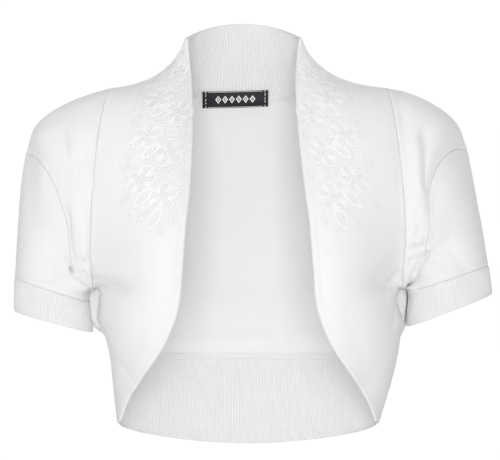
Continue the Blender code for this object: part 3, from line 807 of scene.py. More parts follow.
def half_back(side):
    """Half of the back, drawn on the left, with the side seam and fullness of its side."""
    outer, down = outer_line(side, is_back=True)
    middle = along(columns_of(BACK_MIDDLE, "x", "y", "z"), share_of_length(outer))
    top = np.array([*neck_seam(), *ridge()[NECK_END_STEPS + 1:]])
    rows = []
    for k in range(len(outer)):
        heading, dip = arrival(down[k])
        if k >= LOOP_STEPS // 2:
            heading += np.interp(outer[k][2], BACK_FULLNESS["z"], BACK_FULLNESS[side])
        rows.append(bowed_row(middle[k], STRAIGHT_ACROSS, outer[k], (-heading, dip),
                              len(top) - 1))
    half = np.array(rows)
    correction = top - half[0]
    for k in range(BACK_TOP_ROWS):
        half[k] += correction * (1 - k / BACK_TOP_ROWS) ** 2
    return half


def eased(half):
    """Half a back with its lower rows evened out, away from its outer edge."""
    inside = np.clip((EASED_WITHIN - np.linspace(0, 1, half.shape[1])) / EASED_FADE, 0, 1)
    below = np.clip((EASED_BELOW_Z - half[1:-1, :, 2]) / EASED_FALL, 0, 1)
    for _ in range(EASINGS):
        steps = np.linalg.norm(np.diff(half, axis=0), axis=2)[..., None]
        up, down = steps[:-1], steps[1:]
        even = (half[:-2] * down + half[2:] * up) / (up + down)
        half[1:-1, :, 1] += inside * below * (even - half[1:-1])[..., 1] / 2
    return half


def mirrored(points):
    return points * np.array([-1, 1, 1])


def both_ways(half_line):
    """A line from the middle out to one side, made whole from side to side."""
    return np.concatenate([mirrored(half_line)[:0:-1], half_line])


def back_grid():
    right = mirrored(eased(half_back("right")))[:, :0:-1]
    return np.concatenate([right, eased(half_back("left"))], axis=1)


def stretched(top, low, first, last):
    """A grid stretched between four edges that share their corners."""
    u = np.linspace(0, 1, len(top))[None, :, None]
    v = np.linspace(0, 1, len(first))[:, None, None]
    across = (1 - v) * top[None] + v * low[None]
    down = (1 - u) * first[:, None] + u * last[:, None]
    corners = ((1 - v) * ((1 - u) * top[0] + u * top[-1])
               + v * ((1 - u) * low[0] + u * low[-1]))
    return across + down - corners


def collar_grid():
    top = bowed_row(COLLAR_TOP_BACK, STRAIGHT_ACROSS, NECK_TOP, COLLAR_TOP_ARRIVES, NECK_STEPS,
                    COLLAR_TOP_REACH)
    end = ridge()[:NECK_END_STEPS + 1]
    return stretched(both_ways(top), both_ways(neck_seam()), mirrored(end), end)


def band_grid(back):
    low = bowed_row(HEM_BOTTOM_BACK, STRAIGHT_ACROSS, side_seam("left")[-1],
                    HEM_BOTTOM_ARRIVES, back.shape[1] // 2)
    right, left = (side_seam(side)[SIDE_STEPS_ABOVE_BAND:] for side in ("right", "left"))
    return stretched(back[-1], both_ways(low), mirrored(right), left)


def leaned(points):
    """The neck's lean to one side, which fades towards the bust and the shoulders."""
    up = np.clip((points[..., 2] - LEAN_FROM_Z) / (LEAN_TO_Z - LEAN_FROM_Z), 0, 1)
    out = np.clip(1 - (points[..., 0] / LEAN_HALF_WIDTH) ** 2, 0, 1)
    shifted = points.copy()
    shifted[..., 0] += NECK_LEAN * up**2 * (3 - 2 * up) * out
    return shifted


class Panel:
    """One cut piece: the grid of points of its outer side, as in the solids."""

    def __init__(self, name, grid, kind, closed=False):
        self.name = name
        self.grid = leaned(grid)
        self.kind = kind
        self.closed = closed
        self.normals = self.found_normals()

    def edges(self):
        rows, columns = self.grid.shape[:2]
        found = {
            "top": [(0, k) for k in range(columns)],
            "low": [(rows - 1, k) for k in range(columns)],
        }
        if not self.closed:
            found["first"] = [(k, 0) for k in range(rows)]
            found["last"] = [(k, columns - 1) for k in range(rows)]
        return found

    def found_normals(self):
        """The outward direction at each point of the grid, from its own neighbours."""
        if self.closed:
            wrapped = np.concatenate([self.grid[:, -1:], self.grid, self.grid[:, :1]], axis=1)
            across = (wrapped[:, 2:] - wrapped[:, :-2]) / 2
            inside = self.grid.mean(axis=1, keepdims=True)
        else:
            across = np.gradient(self.grid, axis=1)
            inside = self.grid * np.array([0, 0, 1])
        normals = unit(np.cross(np.gradient(self.grid, axis=0), across))
        return -normals if (normals * (self.grid - inside)).sum() < 0 else normals

    def lengths(self, axis):
        """How far along the panel each line of its grid lies, on average, in millimetres."""
        grid = self.grid
        if axis == 1 and self.closed:
            grid = np.concatenate([grid, grid[:, :1]], axis=1)
        steps = np.linalg.norm(np.diff(grid, axis=axis), axis=2).mean(axis=1 - axis)
        return np.concatenate([[0], np.cumsum(steps)])

    def at(self, rows, columns):
        """Points and normals of the outer side at fractional rows and columns, in folds."""
        points, normals = (smooth(smooth(values, rows, 0), columns, 1, self.closed)
                           for values in (self.grid, self.normals))
        normals = unit(normals)
        depth = fold_depth(points, normals, self.name) + ripples(points)
        return points + depth[..., None] * normals, normals


def smooth(values, at, axis, closed=False):
    """The values of a grid between its lines, on smooth curves through them."""
    values = np.moveaxis(values, axis, 0)
    if closed:
        before, after = values[-1:], values[:2]
    else:
        before, after = [2 * values[0] - values[1]], [2 * values[-1] - values[-2]]
    padded = np.concatenate([before, values, after])
    at = np.asarray(at, float)
    most = len(values) - (0 if closed else 1)
    low = np.clip(np.floor(at).astype(int), 0, most - 1)
    t = (at - low).reshape((-1,) + (1,) * (values.ndim - 1))
    return np.moveaxis(curve_at(*(padded[low + k] for k in range(4)), t), 0, axis)


def tree_of(points):
    """A tree for finding the nearest of some points."""
    tree = KDTree(len(points))
    for number, point in enumerate(points):
        tree.insert(point, number)
    tree.balance()
    return tree


def mean_by_number(panels, meeting):
    """The mean normal of all the points that meet."""
    sums = {}
    for panel in panels:
        for place in {place for places in panel.edges().values() for place in places}:
            sums.setdefault(meeting[panel.name, place], []).append(panel.normals[place])
    return {number: np.mean(found, axis=0) for number, found in sums.items()}


def share_seam_normals(panels):
    """Gives the points that meet in a seam one direction, evened out along the seam."""
    spots = [(panel, place) for panel in panels
             for places in panel.edges().values() for place in places]
    tree = tree_of([panel.grid[place] for panel, place in spots])
    meeting = {
        (panel.name, place): min(k for _, k, _ in tree.find_range(panel.grid[place], SAME_POINT))
        for panel, place in spots
    }
    shared = mean_by_number(panels, meeting)
    for _ in range(SEAM_EVENINGS):
        sums = {number: 2 * unit(normal) for number, normal in shared.items()}
        for panel in panels:
            for places in panel.edges().values():
                places = [*places, places[0]] if panel.closed else list(places)
                for one, other in zip(places, places[1:]):
                    here, there = meeting[panel.name, one], meeting[panel.name, other]
                    sums[here] = sums[here] + unit(shared[there])
                    sums[there] = sums[there] + unit(shared[here])
        shared = sums
    for panel, place in spots:
        panel.normals[place] = unit(shared[meeting[panel.name, place]])


def to_wearers_right(folds):
    return {**folds, "x": -folds["x"], "to_x": -folds["to_x"]}


def depth_of(points, normals, tables):
    """How far the folds of some tables move each point out along its normal."""
    depth = np.zeros(points.shape[:-1])
    for folds in tables:
        for x, z, to_x, to_z, side, width, height in rows_of(folds):
            start, run = np.array([x, z]), np.array([to_x - x, to_z - z])
            seen = points[..., [0, 2]] - start
            share = np.clip(seen @ run / (run @ run), 0, 1)
            away = np.linalg.norm(seen - share[..., None] * run, axis=-1)
            facing = np.clip(FOLD_WRAP + FOLD_FADE * side * normals[..., 1], 0, 1)
            depth += height * facing * np.exp(-((away / width) ** 2))
    return depth


@functools.lru_cache
def fold_tables():
    return {
        "left": (FOLDS_LEFT, CREASES_LEFT),
        "right": (to_wearers_right(FOLDS_RIGHT), to_wearers_right(CREASES_RIGHT)),
        "body": (FOLDS_BODY, CREASES_BODY),
    }


@functools.lru_cache
def armhole_tree():
    """The line of both armholes, close enough together to measure distances from it."""
    loop = smooth(sleeve_loop(SLEEVE_LEFT, 0), np.arange(0, LOOP_STEPS, 0.2), 0, True)
    return tree_of(leaned(np.concatenate([loop, mirrored(loop)])))


def fold_depth(points, normals, name):
    """How far a panel's folds move each point. At the armhole they meet those beyond it."""
    tables = fold_tables()
    side = name.rsplit("_", 1)[-1]
    is_sleeve = name.startswith(("cap", "sleeve", "cuff"))
    own = tables[side] if is_sleeve else tables["body"]
    other = tables["body"] if is_sleeve else tables["left"] + tables["right"]
    depth = depth_of(points, normals, own)
    beyond = depth_of(points, normals, other)
    near = np.abs(points[..., 0]) > SHOULDER_TIP[0] - 3 * SHARED_FOLD_REACH
    share = np.zeros(depth.shape)
    tree = armhole_tree()
    distance = np.array([tree.find(point)[2] for point in points[near]])
    share[near] = np.exp(-((distance / SHARED_FOLD_REACH) ** 2)) / 2
    return depth + share * (beyond - depth)


def noise_at(points):
    """Soft noise from -1 to 1 at each of some points."""
    values = [noise.noise(Vector(point)) for point in points.reshape(-1, 3)]
    return np.array(values).reshape(points.shape[:-1])


def ripples(points):
    """A light unevenness, the same on both sides of every seam."""
    return sum(height * noise_at(points / size + np.array(place))
               for size, height, place in RIPPLES)


def sleeve_panels(side, name, sections):
    last = len(sections["top_x"]) - 1
    turn = np.array([side, 1, 1])
    parts = (
        ("cap", range(CAP_STEPS + 1), "jersey"),
        ("sleeve", np.linspace(CAP_STEPS, last - 1, SLEEVE_STEPS + 1), "jersey"),
        ("cuff", [last - 1, (2 * last - 1) / 2, last], "rib"),
    )
    return [
        Panel(f"{part}_{name}", np.array([sleeve_loop(sections, row) for row in rows]) * turn,
              kind, closed=True)
        for part, rows, kind in parts
    ]


@functools.lru_cache
def cut_panels():
    """All the cut pieces by name, with shared directions at their seams."""
    back = back_grid()
    panels = [
        Panel("front_left", front_grid("left"), "jersey"),
        Panel("front_right", mirrored(front_grid("right")), "jersey"),
        Panel("back", back, "jersey"),
        Panel("collar", collar_grid(), "rib"),
        Panel("hem_band", band_grid(back), "rib"),
        *sleeve_panels(1, "left", SLEEVE_LEFT),
        *sleeve_panels(-1, "right", SLEEVE_RIGHT),
    ]
    share_seam_normals(panels)
    return {panel.name: panel for panel in panels}


def spaced(length, step, from_start, from_end):
    """Distances from 0 to length: those given from each end and even ones between them."""
    first, last = from_start[-1], length - from_end[-1]
    count = max(int(round((last - first) / step)), 1)
    middle = np.linspace(first, last, count + 1)[1:-1]
    return np.concatenate([from_start, middle, length - np.array(from_end)[::-1]])


def maths(operation, turned_round=False):
    """A method that puts a value, and another if there is one, through a step of maths."""
    def step(self, *other):
        values = (self, *other)[::-1] if turned_round else (self, *other)
        return self.shader.value("ShaderNodeMath", {"operation": operation}, *values)
    return step


class Value:
    """A socket of a material that takes part in ordinary sums."""

    __add__ = maths("ADD")
    __radd__ = maths("ADD", turned_round=True)
    __sub__ = maths("SUBTRACT")
    __rsub__ = maths("SUBTRACT", turned_round=True)
    __mul__ = maths("MULTIPLY")
    __truediv__ = maths("DIVIDE")
    __mod__ = maths("FLOORED_MODULO")
    __lt__ = maths("LESS_THAN")
    __gt__ = maths("GREATER_THAN")
    __abs__ = maths("ABSOLUTE")
    sine = maths("SINE")
    less = maths("MINIMUM")

    def __init__(self, shader, socket):
        self.shader = shader
        self.socket = socket

    def held(self):
        """The value, held between 0 and 1."""
        settings = {"operation": "MULTIPLY", "use_clamp": True}
        return self.shader.value("ShaderNodeMath", settings, self, 1.0)


class Finish:
    """A material in the making."""

    def __init__(self, name, roughness, sheen=0.0, specular=0.5, coat=0.0, through=0.0):
        self.material = bpy.data.materials.new(name)
        self.material.use_nodes = True
        self.nodes = self.material.node_tree.nodes
        self.links = self.material.node_tree.links
        self.surface = self.nodes["Principled BSDF"]
        self.set("Roughness", roughness)
        self.set("Specular IOR Level", specular)
        self.set("Sheen Weight", sheen)
        self.set("Sheen Roughness", 0.5)
        self.set("Subsurface Weight", through)
        self.set("Subsurface Radius", (1.0, 1.0, 1.0))
        self.set("Subsurface Scale", LIGHT_SPREAD)
        self.set("Coat Weight", coat)

    def set(self, socket, what):
        """Puts a number, a colour or a value into a socket of the surface."""
        self.fill(self.surface.inputs[socket], what)

    def fill(self, socket, what):
        if isinstance(what, Value):
            self.links.new(what.socket, socket)
        else:
            socket.default_value = what

    def node(self, kind, settings, *values, **named):
        """A node of a type with its settings, and the values or links of its sockets."""
        made = self.nodes.new(kind)
        for name, setting in settings.items():
            setattr(made, name, setting)
        for place, value in [*enumerate(values), *named.items()]:
            self.fill(made.inputs[place], value)
        return made

    def value(self, kind, settings, *values, **named):
        return Value(self, self.node(kind, settings, *values, **named).outputs[0])

    def along_cloth(self):
        """Millimetres across and down the cloth, from the piece's own map."""
        place = self.value("ShaderNodeUVMap", {"uv_map": CLOTH_MAP})
        parts = self.node("ShaderNodeSeparateXYZ", {}, place)
        return Value(self, parts.outputs[0]), Value(self, parts.outputs[1])

    def clouds(self, per_metre, detail=2.0, roughness=0.5):
        """Soft noise from 0 to 1 over the object."""
        place = Value(self, self.node("ShaderNodeTexCoord", {}).outputs["Object"])
        return self.value("ShaderNodeTexNoise", {}, Vector=place, Scale=per_metre,
                          Detail=detail, Roughness=roughness)

    def colour(self, share, tone, other):
        """The surface's colour: a tone or another, by share."""
        made = self.node("ShaderNodeMix", {"data_type": "RGBA"}, share)
        made.inputs[6].default_value = (*tone, 1)
        made.inputs[7].default_value = (*other, 1)
        self.set("Base Color", Value(self, made.outputs[2]))

    def bump(self, height, distance, strength=1.0):
        """Relief of a height from 0 to 1 over a distance in metres."""
        self.set("Normal", self.value("ShaderNodeBump", {}, Strength=strength,
                                      Distance=distance, Height=height))


def shade(colour, share):
    """A colour made darker to a share of itself."""
    return tuple(part * share for part in colour[:3])


def knit(across, down, wale, course):
    """The height of plain knit: rows of V-shaped loops, a wale wide and a course high."""
    lean = abs((across / wale) % 1.0 - 0.5)
    loop = (down / course + lean * 1.3) % 1.0 - 0.5
    round_loop = 1.0 - (loop * loop) * 4.0
    wale_side = (lean * (2 * math.pi)).sine()
    return round_loop * 0.6 + wale_side * 0.4


@functools.lru_cache
def finish_of(name):
    """The material of a kind of piece, made once."""
    tone = bpy.context.scene.jacket_tones
    return {
        "jersey": jersey_finish,
        "allowance": allowance_finish,
        "rib": rib_finish,
        "cord": cord_finish,
        "pearl": pearl_finish,
        "thread": thread_finish,
        "label": label_finish,
        "floor": floor_finish,
    }[name](tone)


def allowance_finish(tone):
    """The same jersey, doubled and pressed flat, so that no light comes through."""
    return jersey_finish(tone, "white_jersey_doubled", 0.0)


def jersey_finish(tone, name="white_jersey", through=0.6):
    """Fine white cotton jersey: small loops with a little painted shade between them, a soft nap
    and a little unevenness.
    """
    finish = Finish(name, roughness=0.9, sheen=0.12, specular=0.25, through=through)
    across, down = finish.along_cloth()
    loops = knit(across, down, wale=0.85, course=0.7)
    nap = finish.clouds(900.0, detail=3.0, roughness=0.65)
    uneven = finish.clouds(46.0, detail=3.0, roughness=0.6)
    streaks = finish.value("ShaderNodeTexNoise", {"noise_dimensions": "1D"},
                           W=down * 0.55, Scale=1.0, Detail=2.0)
    # painted shade: the low parts of the knit loops are a little darker; the rest of the share is
    # random unevenness, streaks and nap
    share = (uneven * 0.55 + streaks * 0.25 + nap * 0.35 - loops * 0.15).held()
    finish.colour(share, tone.jersey, shade(tone.jersey, 0.945))
    finish.set("Roughness", 0.84 + nap * 0.12)
    finish.bump(loops * 0.5 + nap * 0.6, 0.00022, 0.7)
    return finish.material


def rib_finish(tone):
    """Rib knit: longer loops along each rib, with painted shade in the grooves between the ribs and
    a little between the loops.
    """
    finish = Finish("white_rib_knit", roughness=0.9, sheen=0.12, specular=0.25, through=0.3)
    across, down = finish.along_cloth()
    loops = knit(across, down, wale=RIB_MAP_PITCH / 2, course=1.05)
    nap = finish.clouds(900.0, detail=3.0, roughness=0.65)
    uneven = finish.clouds(60.0, detail=3.0, roughness=0.6)
    # painted shade: the colour darkens towards the bottom of each groove between the ribs
    groove_shade = abs((across / RIB_MAP_PITCH) % 1.0 - 0.5) * 2.0
    groove_shade = groove_shade * groove_shade * groove_shade
    # the share mixes random unevenness and nap with the painted shade of the grooves and of the low
    # parts of the loops
    share = (uneven * 0.3 + nap * 0.25 + groove_shade * 0.75 - loops * 0.15).held()
    finish.colour(share, tone.rib, shade(tone.rib, 0.84))
    finish.set("Roughness", 0.84 + nap * 0.12)
    finish.bump(loops * 0.6 + nap * 0.4, 0.00025, 0.7)
    return finish.material


def cord_finish(tone):
    """Twisted rayon cord: bright strands with painted shade in the hollows between them. Its map
    holds the angle round the cord and how far along it lies."""
    finish = Finish("white_cord", roughness=0.55, sheen=0.8, specular=0.5)
    angle, run = finish.along_cloth()
    strands = (angle * 2.0 - run * (4 * math.pi / CORD_TWIST) + math.pi / 2).sine() * 0.5 + 0.5
    fibres = (angle * 6.0 + run * 7.0).sine() * 0.5 + 0.5
    nap = finish.clouds(1500.0, detail=2.0)
    # painted shade: the colour darkens where the strands sink into the hollows between them
    hollow_shade = (1.0 - strands) * (1.0 - strands)
    share = (hollow_shade * 0.9 + nap * 0.2).held()
    finish.colour(share, tone.cord, shade(tone.cord, CORD_HOLLOW_SHADE))
    finish.set("Roughness", 0.5 + nap * 0.2)
    finish.bump(fibres * 0.3 + strands * 0.6, 0.0002, 0.6)
    return finish.material


def pearl_finish(tone):
    """Small glass and pearl beads."""
    finish = Finish("white_pearl", roughness=0.22, specular=0.6, coat=0.4)
    tint = finish.clouds(700.0)
    finish.colour(tint, tone.cord, shade(tone.cord, 0.88))
    finish.set("Roughness", 0.16 + tint * 0.16)
    return finish.material


def thread_finish(tone):
    """Sewing thread."""
    finish = Finish("white_thread", roughness=0.7, sheen=0.15, specular=0.35)
    across, down = finish.along_cloth()
    twist = (down * 9.0 + across * 2.0).sine() * 0.5 + 0.5
    nap = finish.clouds(2200.0)
    finish.colour((nap * 0.7).held(), tone.cord, shade(tone.cord, 0.9))
    finish.set("Roughness", 0.6 + nap * 0.2)
    finish.bump(twist, 0.00006, 0.5)
    return finish.material


def label_finish(tone):
    """Black damask with a woven border and a plain row of diamonds."""
    finish = Finish("woven_label", roughness=0.62, sheen=0.1, specular=0.4)
    across, down = finish.along_cloth()
    warp = (across * (2 * math.pi / LABEL_WARP)).sine()
    weave = warp * (down * (2 * math.pi / LABEL_WEFT)).sine() * 0.5 + 0.5
    nap = finish.clouds(1200.0)
    half = DIAMOND_PITCH / 2
    cell = abs((across / DIAMOND_PITCH) % 1.0 - 0.5) * DIAMOND_PITCH
    reach = cell + abs(down) * (half / DIAMOND_HALF_HEIGHT)
    diamonds = (reach < half - 0.5) * (reach > half - 1.9)
    hearts = reach < 0.9
    in_row = abs(across) < DIAMONDS_HALF_LENGTH
    from_end = LABEL_HALF_WIDTH - LABEL_BORDER - abs(across)
    from_side = LABEL_HEIGHT / 2 - LABEL_BORDER / 2 - abs(down)
    border = abs(from_end.less(from_side)) < 0.22
    within = abs(across) < LABEL_HALF_WIDTH - 6.0
    threads = ((diamonds + hearts) * in_row + border * within).held()
    share = (threads * (0.75 + weave * 0.25)).held()
    finish.colour(share, tone.label, tone.cord)
    finish.set("Roughness", 0.5 + nap * 0.2)
    finish.bump(weave * 0.6 + threads * 0.5, 0.0001, 0.7)
    return finish.material


def floor_finish(tone):
    """A plain pale floor."""
    finish = Finish("pale_floor", roughness=0.8, specular=0.1)
    finish.colour(finish.clouds(1.5), tone.floor, shade(tone.floor, 0.985))
    return finish.material


def start_afresh():
    if bpy.context.object and bpy.context.object.mode != "OBJECT":
        bpy.ops.object.mode_set(mode="OBJECT")
    bpy.ops.object.select_all(action="DESELECT")


@contextlib.contextmanager
def whole_mesh():
    """Edit mode with all of the active piece's mesh selected."""
    bpy.ops.object.mode_set(mode="EDIT")
    bpy.ops.mesh.select_all(action="SELECT")
    yield
    bpy.ops.object.mode_set(mode="OBJECT")


def map_onto(mesh, layer, flat):
    """Fills a mesh's map from one pair of numbers for each of its points."""
    corners = np.zeros(len(mesh.loops), int)
    mesh.loops.foreach_get("vertex_index", corners)
    layer.data.foreach_set("uv", flat[corners].reshape(-1))


def finished(piece):
    """The active piece with its faces turned outwards and its shading set."""
    with whole_mesh():
        bpy.ops.mesh.normals_make_consistent(inside=False)
    shell = bmesh.new()
    shell.from_mesh(piece.data)
    if shell.calc_volume(signed=True) < 0:
        bmesh.ops.reverse_faces(shell, faces=shell.faces)
        shell.to_mesh(piece.data)
    shell.free()
    bpy.ops.object.shade_smooth_by_angle(angle=math.radians(SMOOTH_ANGLE))
    return piece


def wall_of_cloth(name, outer, inner, across, down, closed):
    """A wall between two grids of points: a flat grid laid to the outer side, then extruded
    to the inner side. Its map holds millimetres across and down the cloth."""
    rows, columns = outer.shape[:2]
    start_afresh()
    bpy.ops.mesh.primitive_grid_add(x_subdivisions=columns - 1, y_subdivisions=rows - 1, size=1)
    piece = bpy.context.object
    piece.name = name
    mesh = piece.data
    mesh.name = name
    outer, inner = outer.reshape(-1, 3) * METRES, inner.reshape(-1, 3) * METRES
    order = mesh.attributes.new("order", "INT", "POINT")
    order.data.foreach_set("value", np.arange(len(outer)))
    mesh.vertices.foreach_set("co", outer.reshape(-1))
    map_onto(mesh, mesh.uv_layers[0], np.stack([across, down], axis=-1).reshape(-1, 2))
    with whole_mesh():
        if closed:
            bpy.ops.mesh.remove_doubles(threshold=1e-6)
        bpy.ops.mesh.extrude_region()
    numbers = np.zeros(len(mesh.vertices), int)
    mesh.attributes["order"].data.foreach_get("value", numbers)
    is_inner = np.zeros(len(mesh.vertices), bool)
    mesh.vertices.foreach_get("select", is_inner)
    places = np.where(is_inner[:, None], inner[numbers], outer[numbers])
    mesh.vertices.foreach_set("co", places.reshape(-1))
    mesh.attributes.remove(mesh.attributes["order"])
    return finished(piece)


def dress(piece, finish, slot, *nodes):
    """Gives a piece its material and its body, and the solids it stands for. The slot is not used.
    """
    piece.data.materials.clear()
    piece.data.materials.append(finish_of(finish))
    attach(piece, "root")
    if nodes:
        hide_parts(*nodes)


def measured(points, axis):
    """How far along the rows (1) or the columns (0) of a grid each of its points lies."""
    steps = np.linalg.norm(np.diff(points, axis=axis), axis=2)
    first = np.zeros_like(points[:1, :, 0] if axis == 0 else points[:, :1, 0])
    return np.concatenate([first, np.cumsum(steps, axis=axis)], axis=axis)


class Cloth:
    """The fine form of a panel: both sides, and millimetres across and down at each point."""

    def __init__(self, panel, sizes):
        self.panel = panel
        self.is_rib = panel.kind == "rib"
        self.is_front = panel.name.startswith("front")
        self.free_top = panel.name == "collar"
        self.free_low = panel.name.startswith(("front", "cuff", "hem_band"))
        self.divide(sizes)
        base, self.normals = panel.at(self.rows, self.columns)
        self.across, self.down = measured(base, 1), measured(base, 0)
        self.map_across = self.across
        depth = self.seam_depth() * (1 + PUCKER_SHARE * noise_at(base / PUCKER_SIZE))
        wall = sizes.rib_thickness if self.is_rib else sizes.jersey_thickness
        if self.is_front:
            depth, inner = self.rolled(depth, wall)
        else:
            inner = depth * INNER_DIP_SHARE - wall
        if self.is_rib:
            number = np.arange(len(self.columns)) / RIB_COLUMNS
            relief = self.relief(number, sizes.rib_relief)
            depth, inner = depth + relief, inner + relief
            wobble = RIB_WOBBLE * self.by_rib(number, WOBBLE_PLACE)
            base = base + wobble[..., None] * unit(np.gradient(base, axis=1))
            self.map_across = np.broadcast_to(number * RIB_MAP_PITCH, base.shape[:2])
        self.outer = base + depth[..., None] * self.normals
        self.inner = base + inner[..., None] * self.normals
        if panel.closed:
            self.outer[:, -1], self.inner[:, -1] = self.outer[:, 0], self.inner[:, 0]

    def divide(self, sizes):
        """Finds the fractional rows and columns of the panel that the cloth's lines follow."""
        falls, runs = self.panel.lengths(0), self.panel.lengths(1)
        if self.is_rib:
            self.ribs = max(int(round(runs[-1] / rib_pitch(self.panel.name, sizes))), 1)
            across = np.linspace(0, runs[-1], self.ribs * RIB_COLUMNS + 1)
        elif self.panel.closed:
            across = np.linspace(0, runs[-1], int(runs[-1] / sizes.cell) + 1)
        else:
            first_lines = EDGE_LINES if self.is_front else SEAM_LINES
            across = spaced(runs[-1], sizes.cell, first_lines, SEAM_LINES)
        step = sizes.cell * (RIB_ROW_STRETCH if self.is_rib else 1.0)
        top, low = (FREE_LINES if free else SEAM_LINES for free in (self.free_top, self.free_low))
        self.rows = np.interp(spaced(falls[-1], step, top, low), falls, np.arange(len(falls)))
        self.columns = np.interp(across, runs, np.arange(len(runs)))

    def free_and_sewn(self):
        """How far each point lies from the top and from the low edge, and which are free."""
        return ((self.down, self.free_top), (self.down[-1:] - self.down, self.free_low))

    def seam_depth(self):
        """How far the seams and free edges draw the outer side in, or raise it beside them."""
        edges = [(distance, FREE_DIP if free else SEAM_DIP)
                 for distance, free in self.free_and_sewn()]
        if not self.panel.closed:
            if not self.is_front:
                edges.append((self.across, SEAM_DIP))
            edges.append((self.across[:, -1:] - self.across, SEAM_DIP))
        depth = np.zeros(self.down.shape)
        for distance, profile in edges:
            dip = looked_up(profile, "depth", distance)
            depth = np.where(np.abs(dip) > np.abs(depth), dip, depth)
        return depth

    def rolled(self, depth, wall):
        """The depths of both sides of a front, doubled and rolled in along its free edge."""
        near = self.across < EDGE_ROLL["distance"][-1]
        roll = looked_up(EDGE_ROLL, "depth", self.across)
        depth = np.where(near, np.minimum(roll, roll + depth), depth)
        thickness = np.maximum(wall, looked_up(EDGE_FACING, "thickness", self.across))
        return depth, np.where(near, -thickness, depth * INNER_DIP_SHARE - thickness)

    def relief(self, number, height):
        """How far the ribs stand out, less towards the edges."""
        wave = np.tile(RIB_WAVE, self.ribs + 1)[:len(number)]
        relief = height * wave * (1 + RIB_UNEVEN * self.by_rib(number, 0.0))
        for distance, free in self.free_and_sewn():
            relief = relief * looked_up(RIB_FADE, "free" if free else "sewn", distance)
        return relief

    def by_rib(self, number, place):
        """A slow noise along each rib, different from rib to rib."""
        down = self.down.mean(axis=1)[:, None] / RIB_WOBBLE_LENGTH
        spots = np.broadcast_arrays(number * RIB_NOISE_STEP + place, down, place)
        return noise_at(np.stack(spots, axis=-1)) * RIB_NOISE_DEPTH


def rib_pitch(name, sizes):
    return {"collar": sizes.collar_rib, "hem_band": sizes.band_rib}.get(name, sizes.cuff_rib)


@functools.lru_cache
def cloth_of(name):
    return Cloth(cut_panels()[name], bpy.context.scene.jacket_sizes)


def add_panel(name, *rests_on):
    """Makes a panel's wall of cloth, which stands for the solid of the same name. The pieces named
    are not used."""
    cloth = cloth_of(name)
    kind = cloth.panel.kind
    piece = wall_of_cloth(f"{kind}_{name}", cloth.outer, cloth.inner, cloth.map_across,
                          cloth.down, cloth.panel.closed)
    dress(piece, kind, SLOT_OF[kind], name)
    width, length, area = CUTS[name]


def headings_of(line, closed):
    """The way that a line runs at each of its points."""
    if closed:
        return np.roll(line, -1, axis=0) - np.roll(line, 1, axis=0)
    return np.gradient(line, axis=0)


class Heap:
    """Many small closed shapes, gathered into one mesh."""

    def __init__(self):
        self.points = []
        self.faces = []
        self.maps = []
        self.count = 0

    def add(self, points, faces, flat):
        self.points.append(points)
        self.maps.append(flat)
        self.faces += [[corner + self.count for corner in face] for face in faces]
        self.count += len(points)

    def tube(self, line, normals, radius, sides, closed=False, height=1.0, twist=0.0, lobe=0.0):
        """A cord along a line that lies on a surface with these normals. twist is the length
        of one turn of its strands, and lobe how far they stand out."""
        tangents = unit(headings_of(line, closed))
        sideways = unit(np.cross(tangents, normals))
        upwards = np.cross(sideways, tangents)
        steps = np.linalg.norm(np.diff(line, axis=0), axis=1)
        run = np.concatenate([[0], np.cumsum(steps)])
        turn = 2 * np.pi * np.arange(sides) / sides
        reach = radius * np.ones((len(line), sides))
        if twist:
            whole = run[-1] + (steps.mean() if closed else 0)
            turns = max(round(whole / twist), 1) if closed else whole / twist
            phase = 2 * np.pi * run / whole * turns
            reach *= 1 + lobe * np.cos(2 * turn[None, :] - 2 * phase[:, None])
            run = phase / (2 * np.pi) * twist
        if not closed:
            reach[[0, -1]] *= CORD_END
        ring = (line[:, None] + (reach * np.cos(turn))[..., None] * sideways[:, None]
                + (reach * np.sin(turn) * height)[..., None] * upwards[:, None])
        flat = np.stack(np.broadcast_arrays(turn[None, :], run[:, None]), axis=-1)
        count = len(line)
        faces = []
        for k in range(count if closed else count - 1):
            here, there = k * sides, (k + 1) % count * sides
            for s in range(sides):
                after = (s + 1) % sides
                faces.append((here + s, here + after, there + after, there + s))
        if not closed:
            faces.append(range(sides)[::-1])
            faces.append(range((count - 1) * sides, count * sides))
        self.add(ring.reshape(-1, 3), faces, flat.reshape(-1, 2))

    def copies(self, shape, places, normals, sizes, leads, flat=1.0):
        """Copies of a small shape, each set on the surface at its place, and led one way."""
        points, faces = shape
        for place, up, size, lead in zip(places, unit(normals), sizes, leads):
            side = unit(np.cross(up, lead))
            axes = np.array([side, np.cross(side, up), up * flat])
            self.add(place + points @ axes * size, faces, points[:, :2])

    def made(self, name):
        mesh = bpy.data.meshes.new(name)
        mesh.from_pydata((np.concatenate(self.points) * METRES).tolist(), [], self.faces)
        map_onto(mesh, mesh.uv_layers.new(name=CLOTH_MAP), np.concatenate(self.maps))
        piece = bpy.data.objects.new(name, mesh)
        bpy.context.scene.collection.objects.link(piece)
        start_afresh()
        piece.select_set(True)
        bpy.context.view_layer.objects.active = piece
        return finished(piece)


def small_shape(kind):
    """The points and faces of one bead or one stitch, shaped and then copied."""
    start_afresh()
    if kind == "bead":
        bpy.ops.mesh.primitive_ico_sphere_add(subdivisions=2, radius=1)
    else:
        bpy.ops.mesh.primitive_uv_sphere_add(segments=6, ring_count=6, radius=1)
        with whole_mesh():
            bpy.ops.transform.rotate(value=math.pi / 2, orient_axis="X",
                                     center_override=(0, 0, 0))
            bpy.ops.transform.resize(value=(STITCH_SLIMNESS, 1, STITCH_SLIMNESS))
    piece = bpy.context.object
    points = np.array([vertex.co[:] for vertex in piece.data.vertices])
    faces = [tuple(face.vertices) for face in piece.data.polygons]
    bpy.data.objects.remove(piece)
    return points, faces


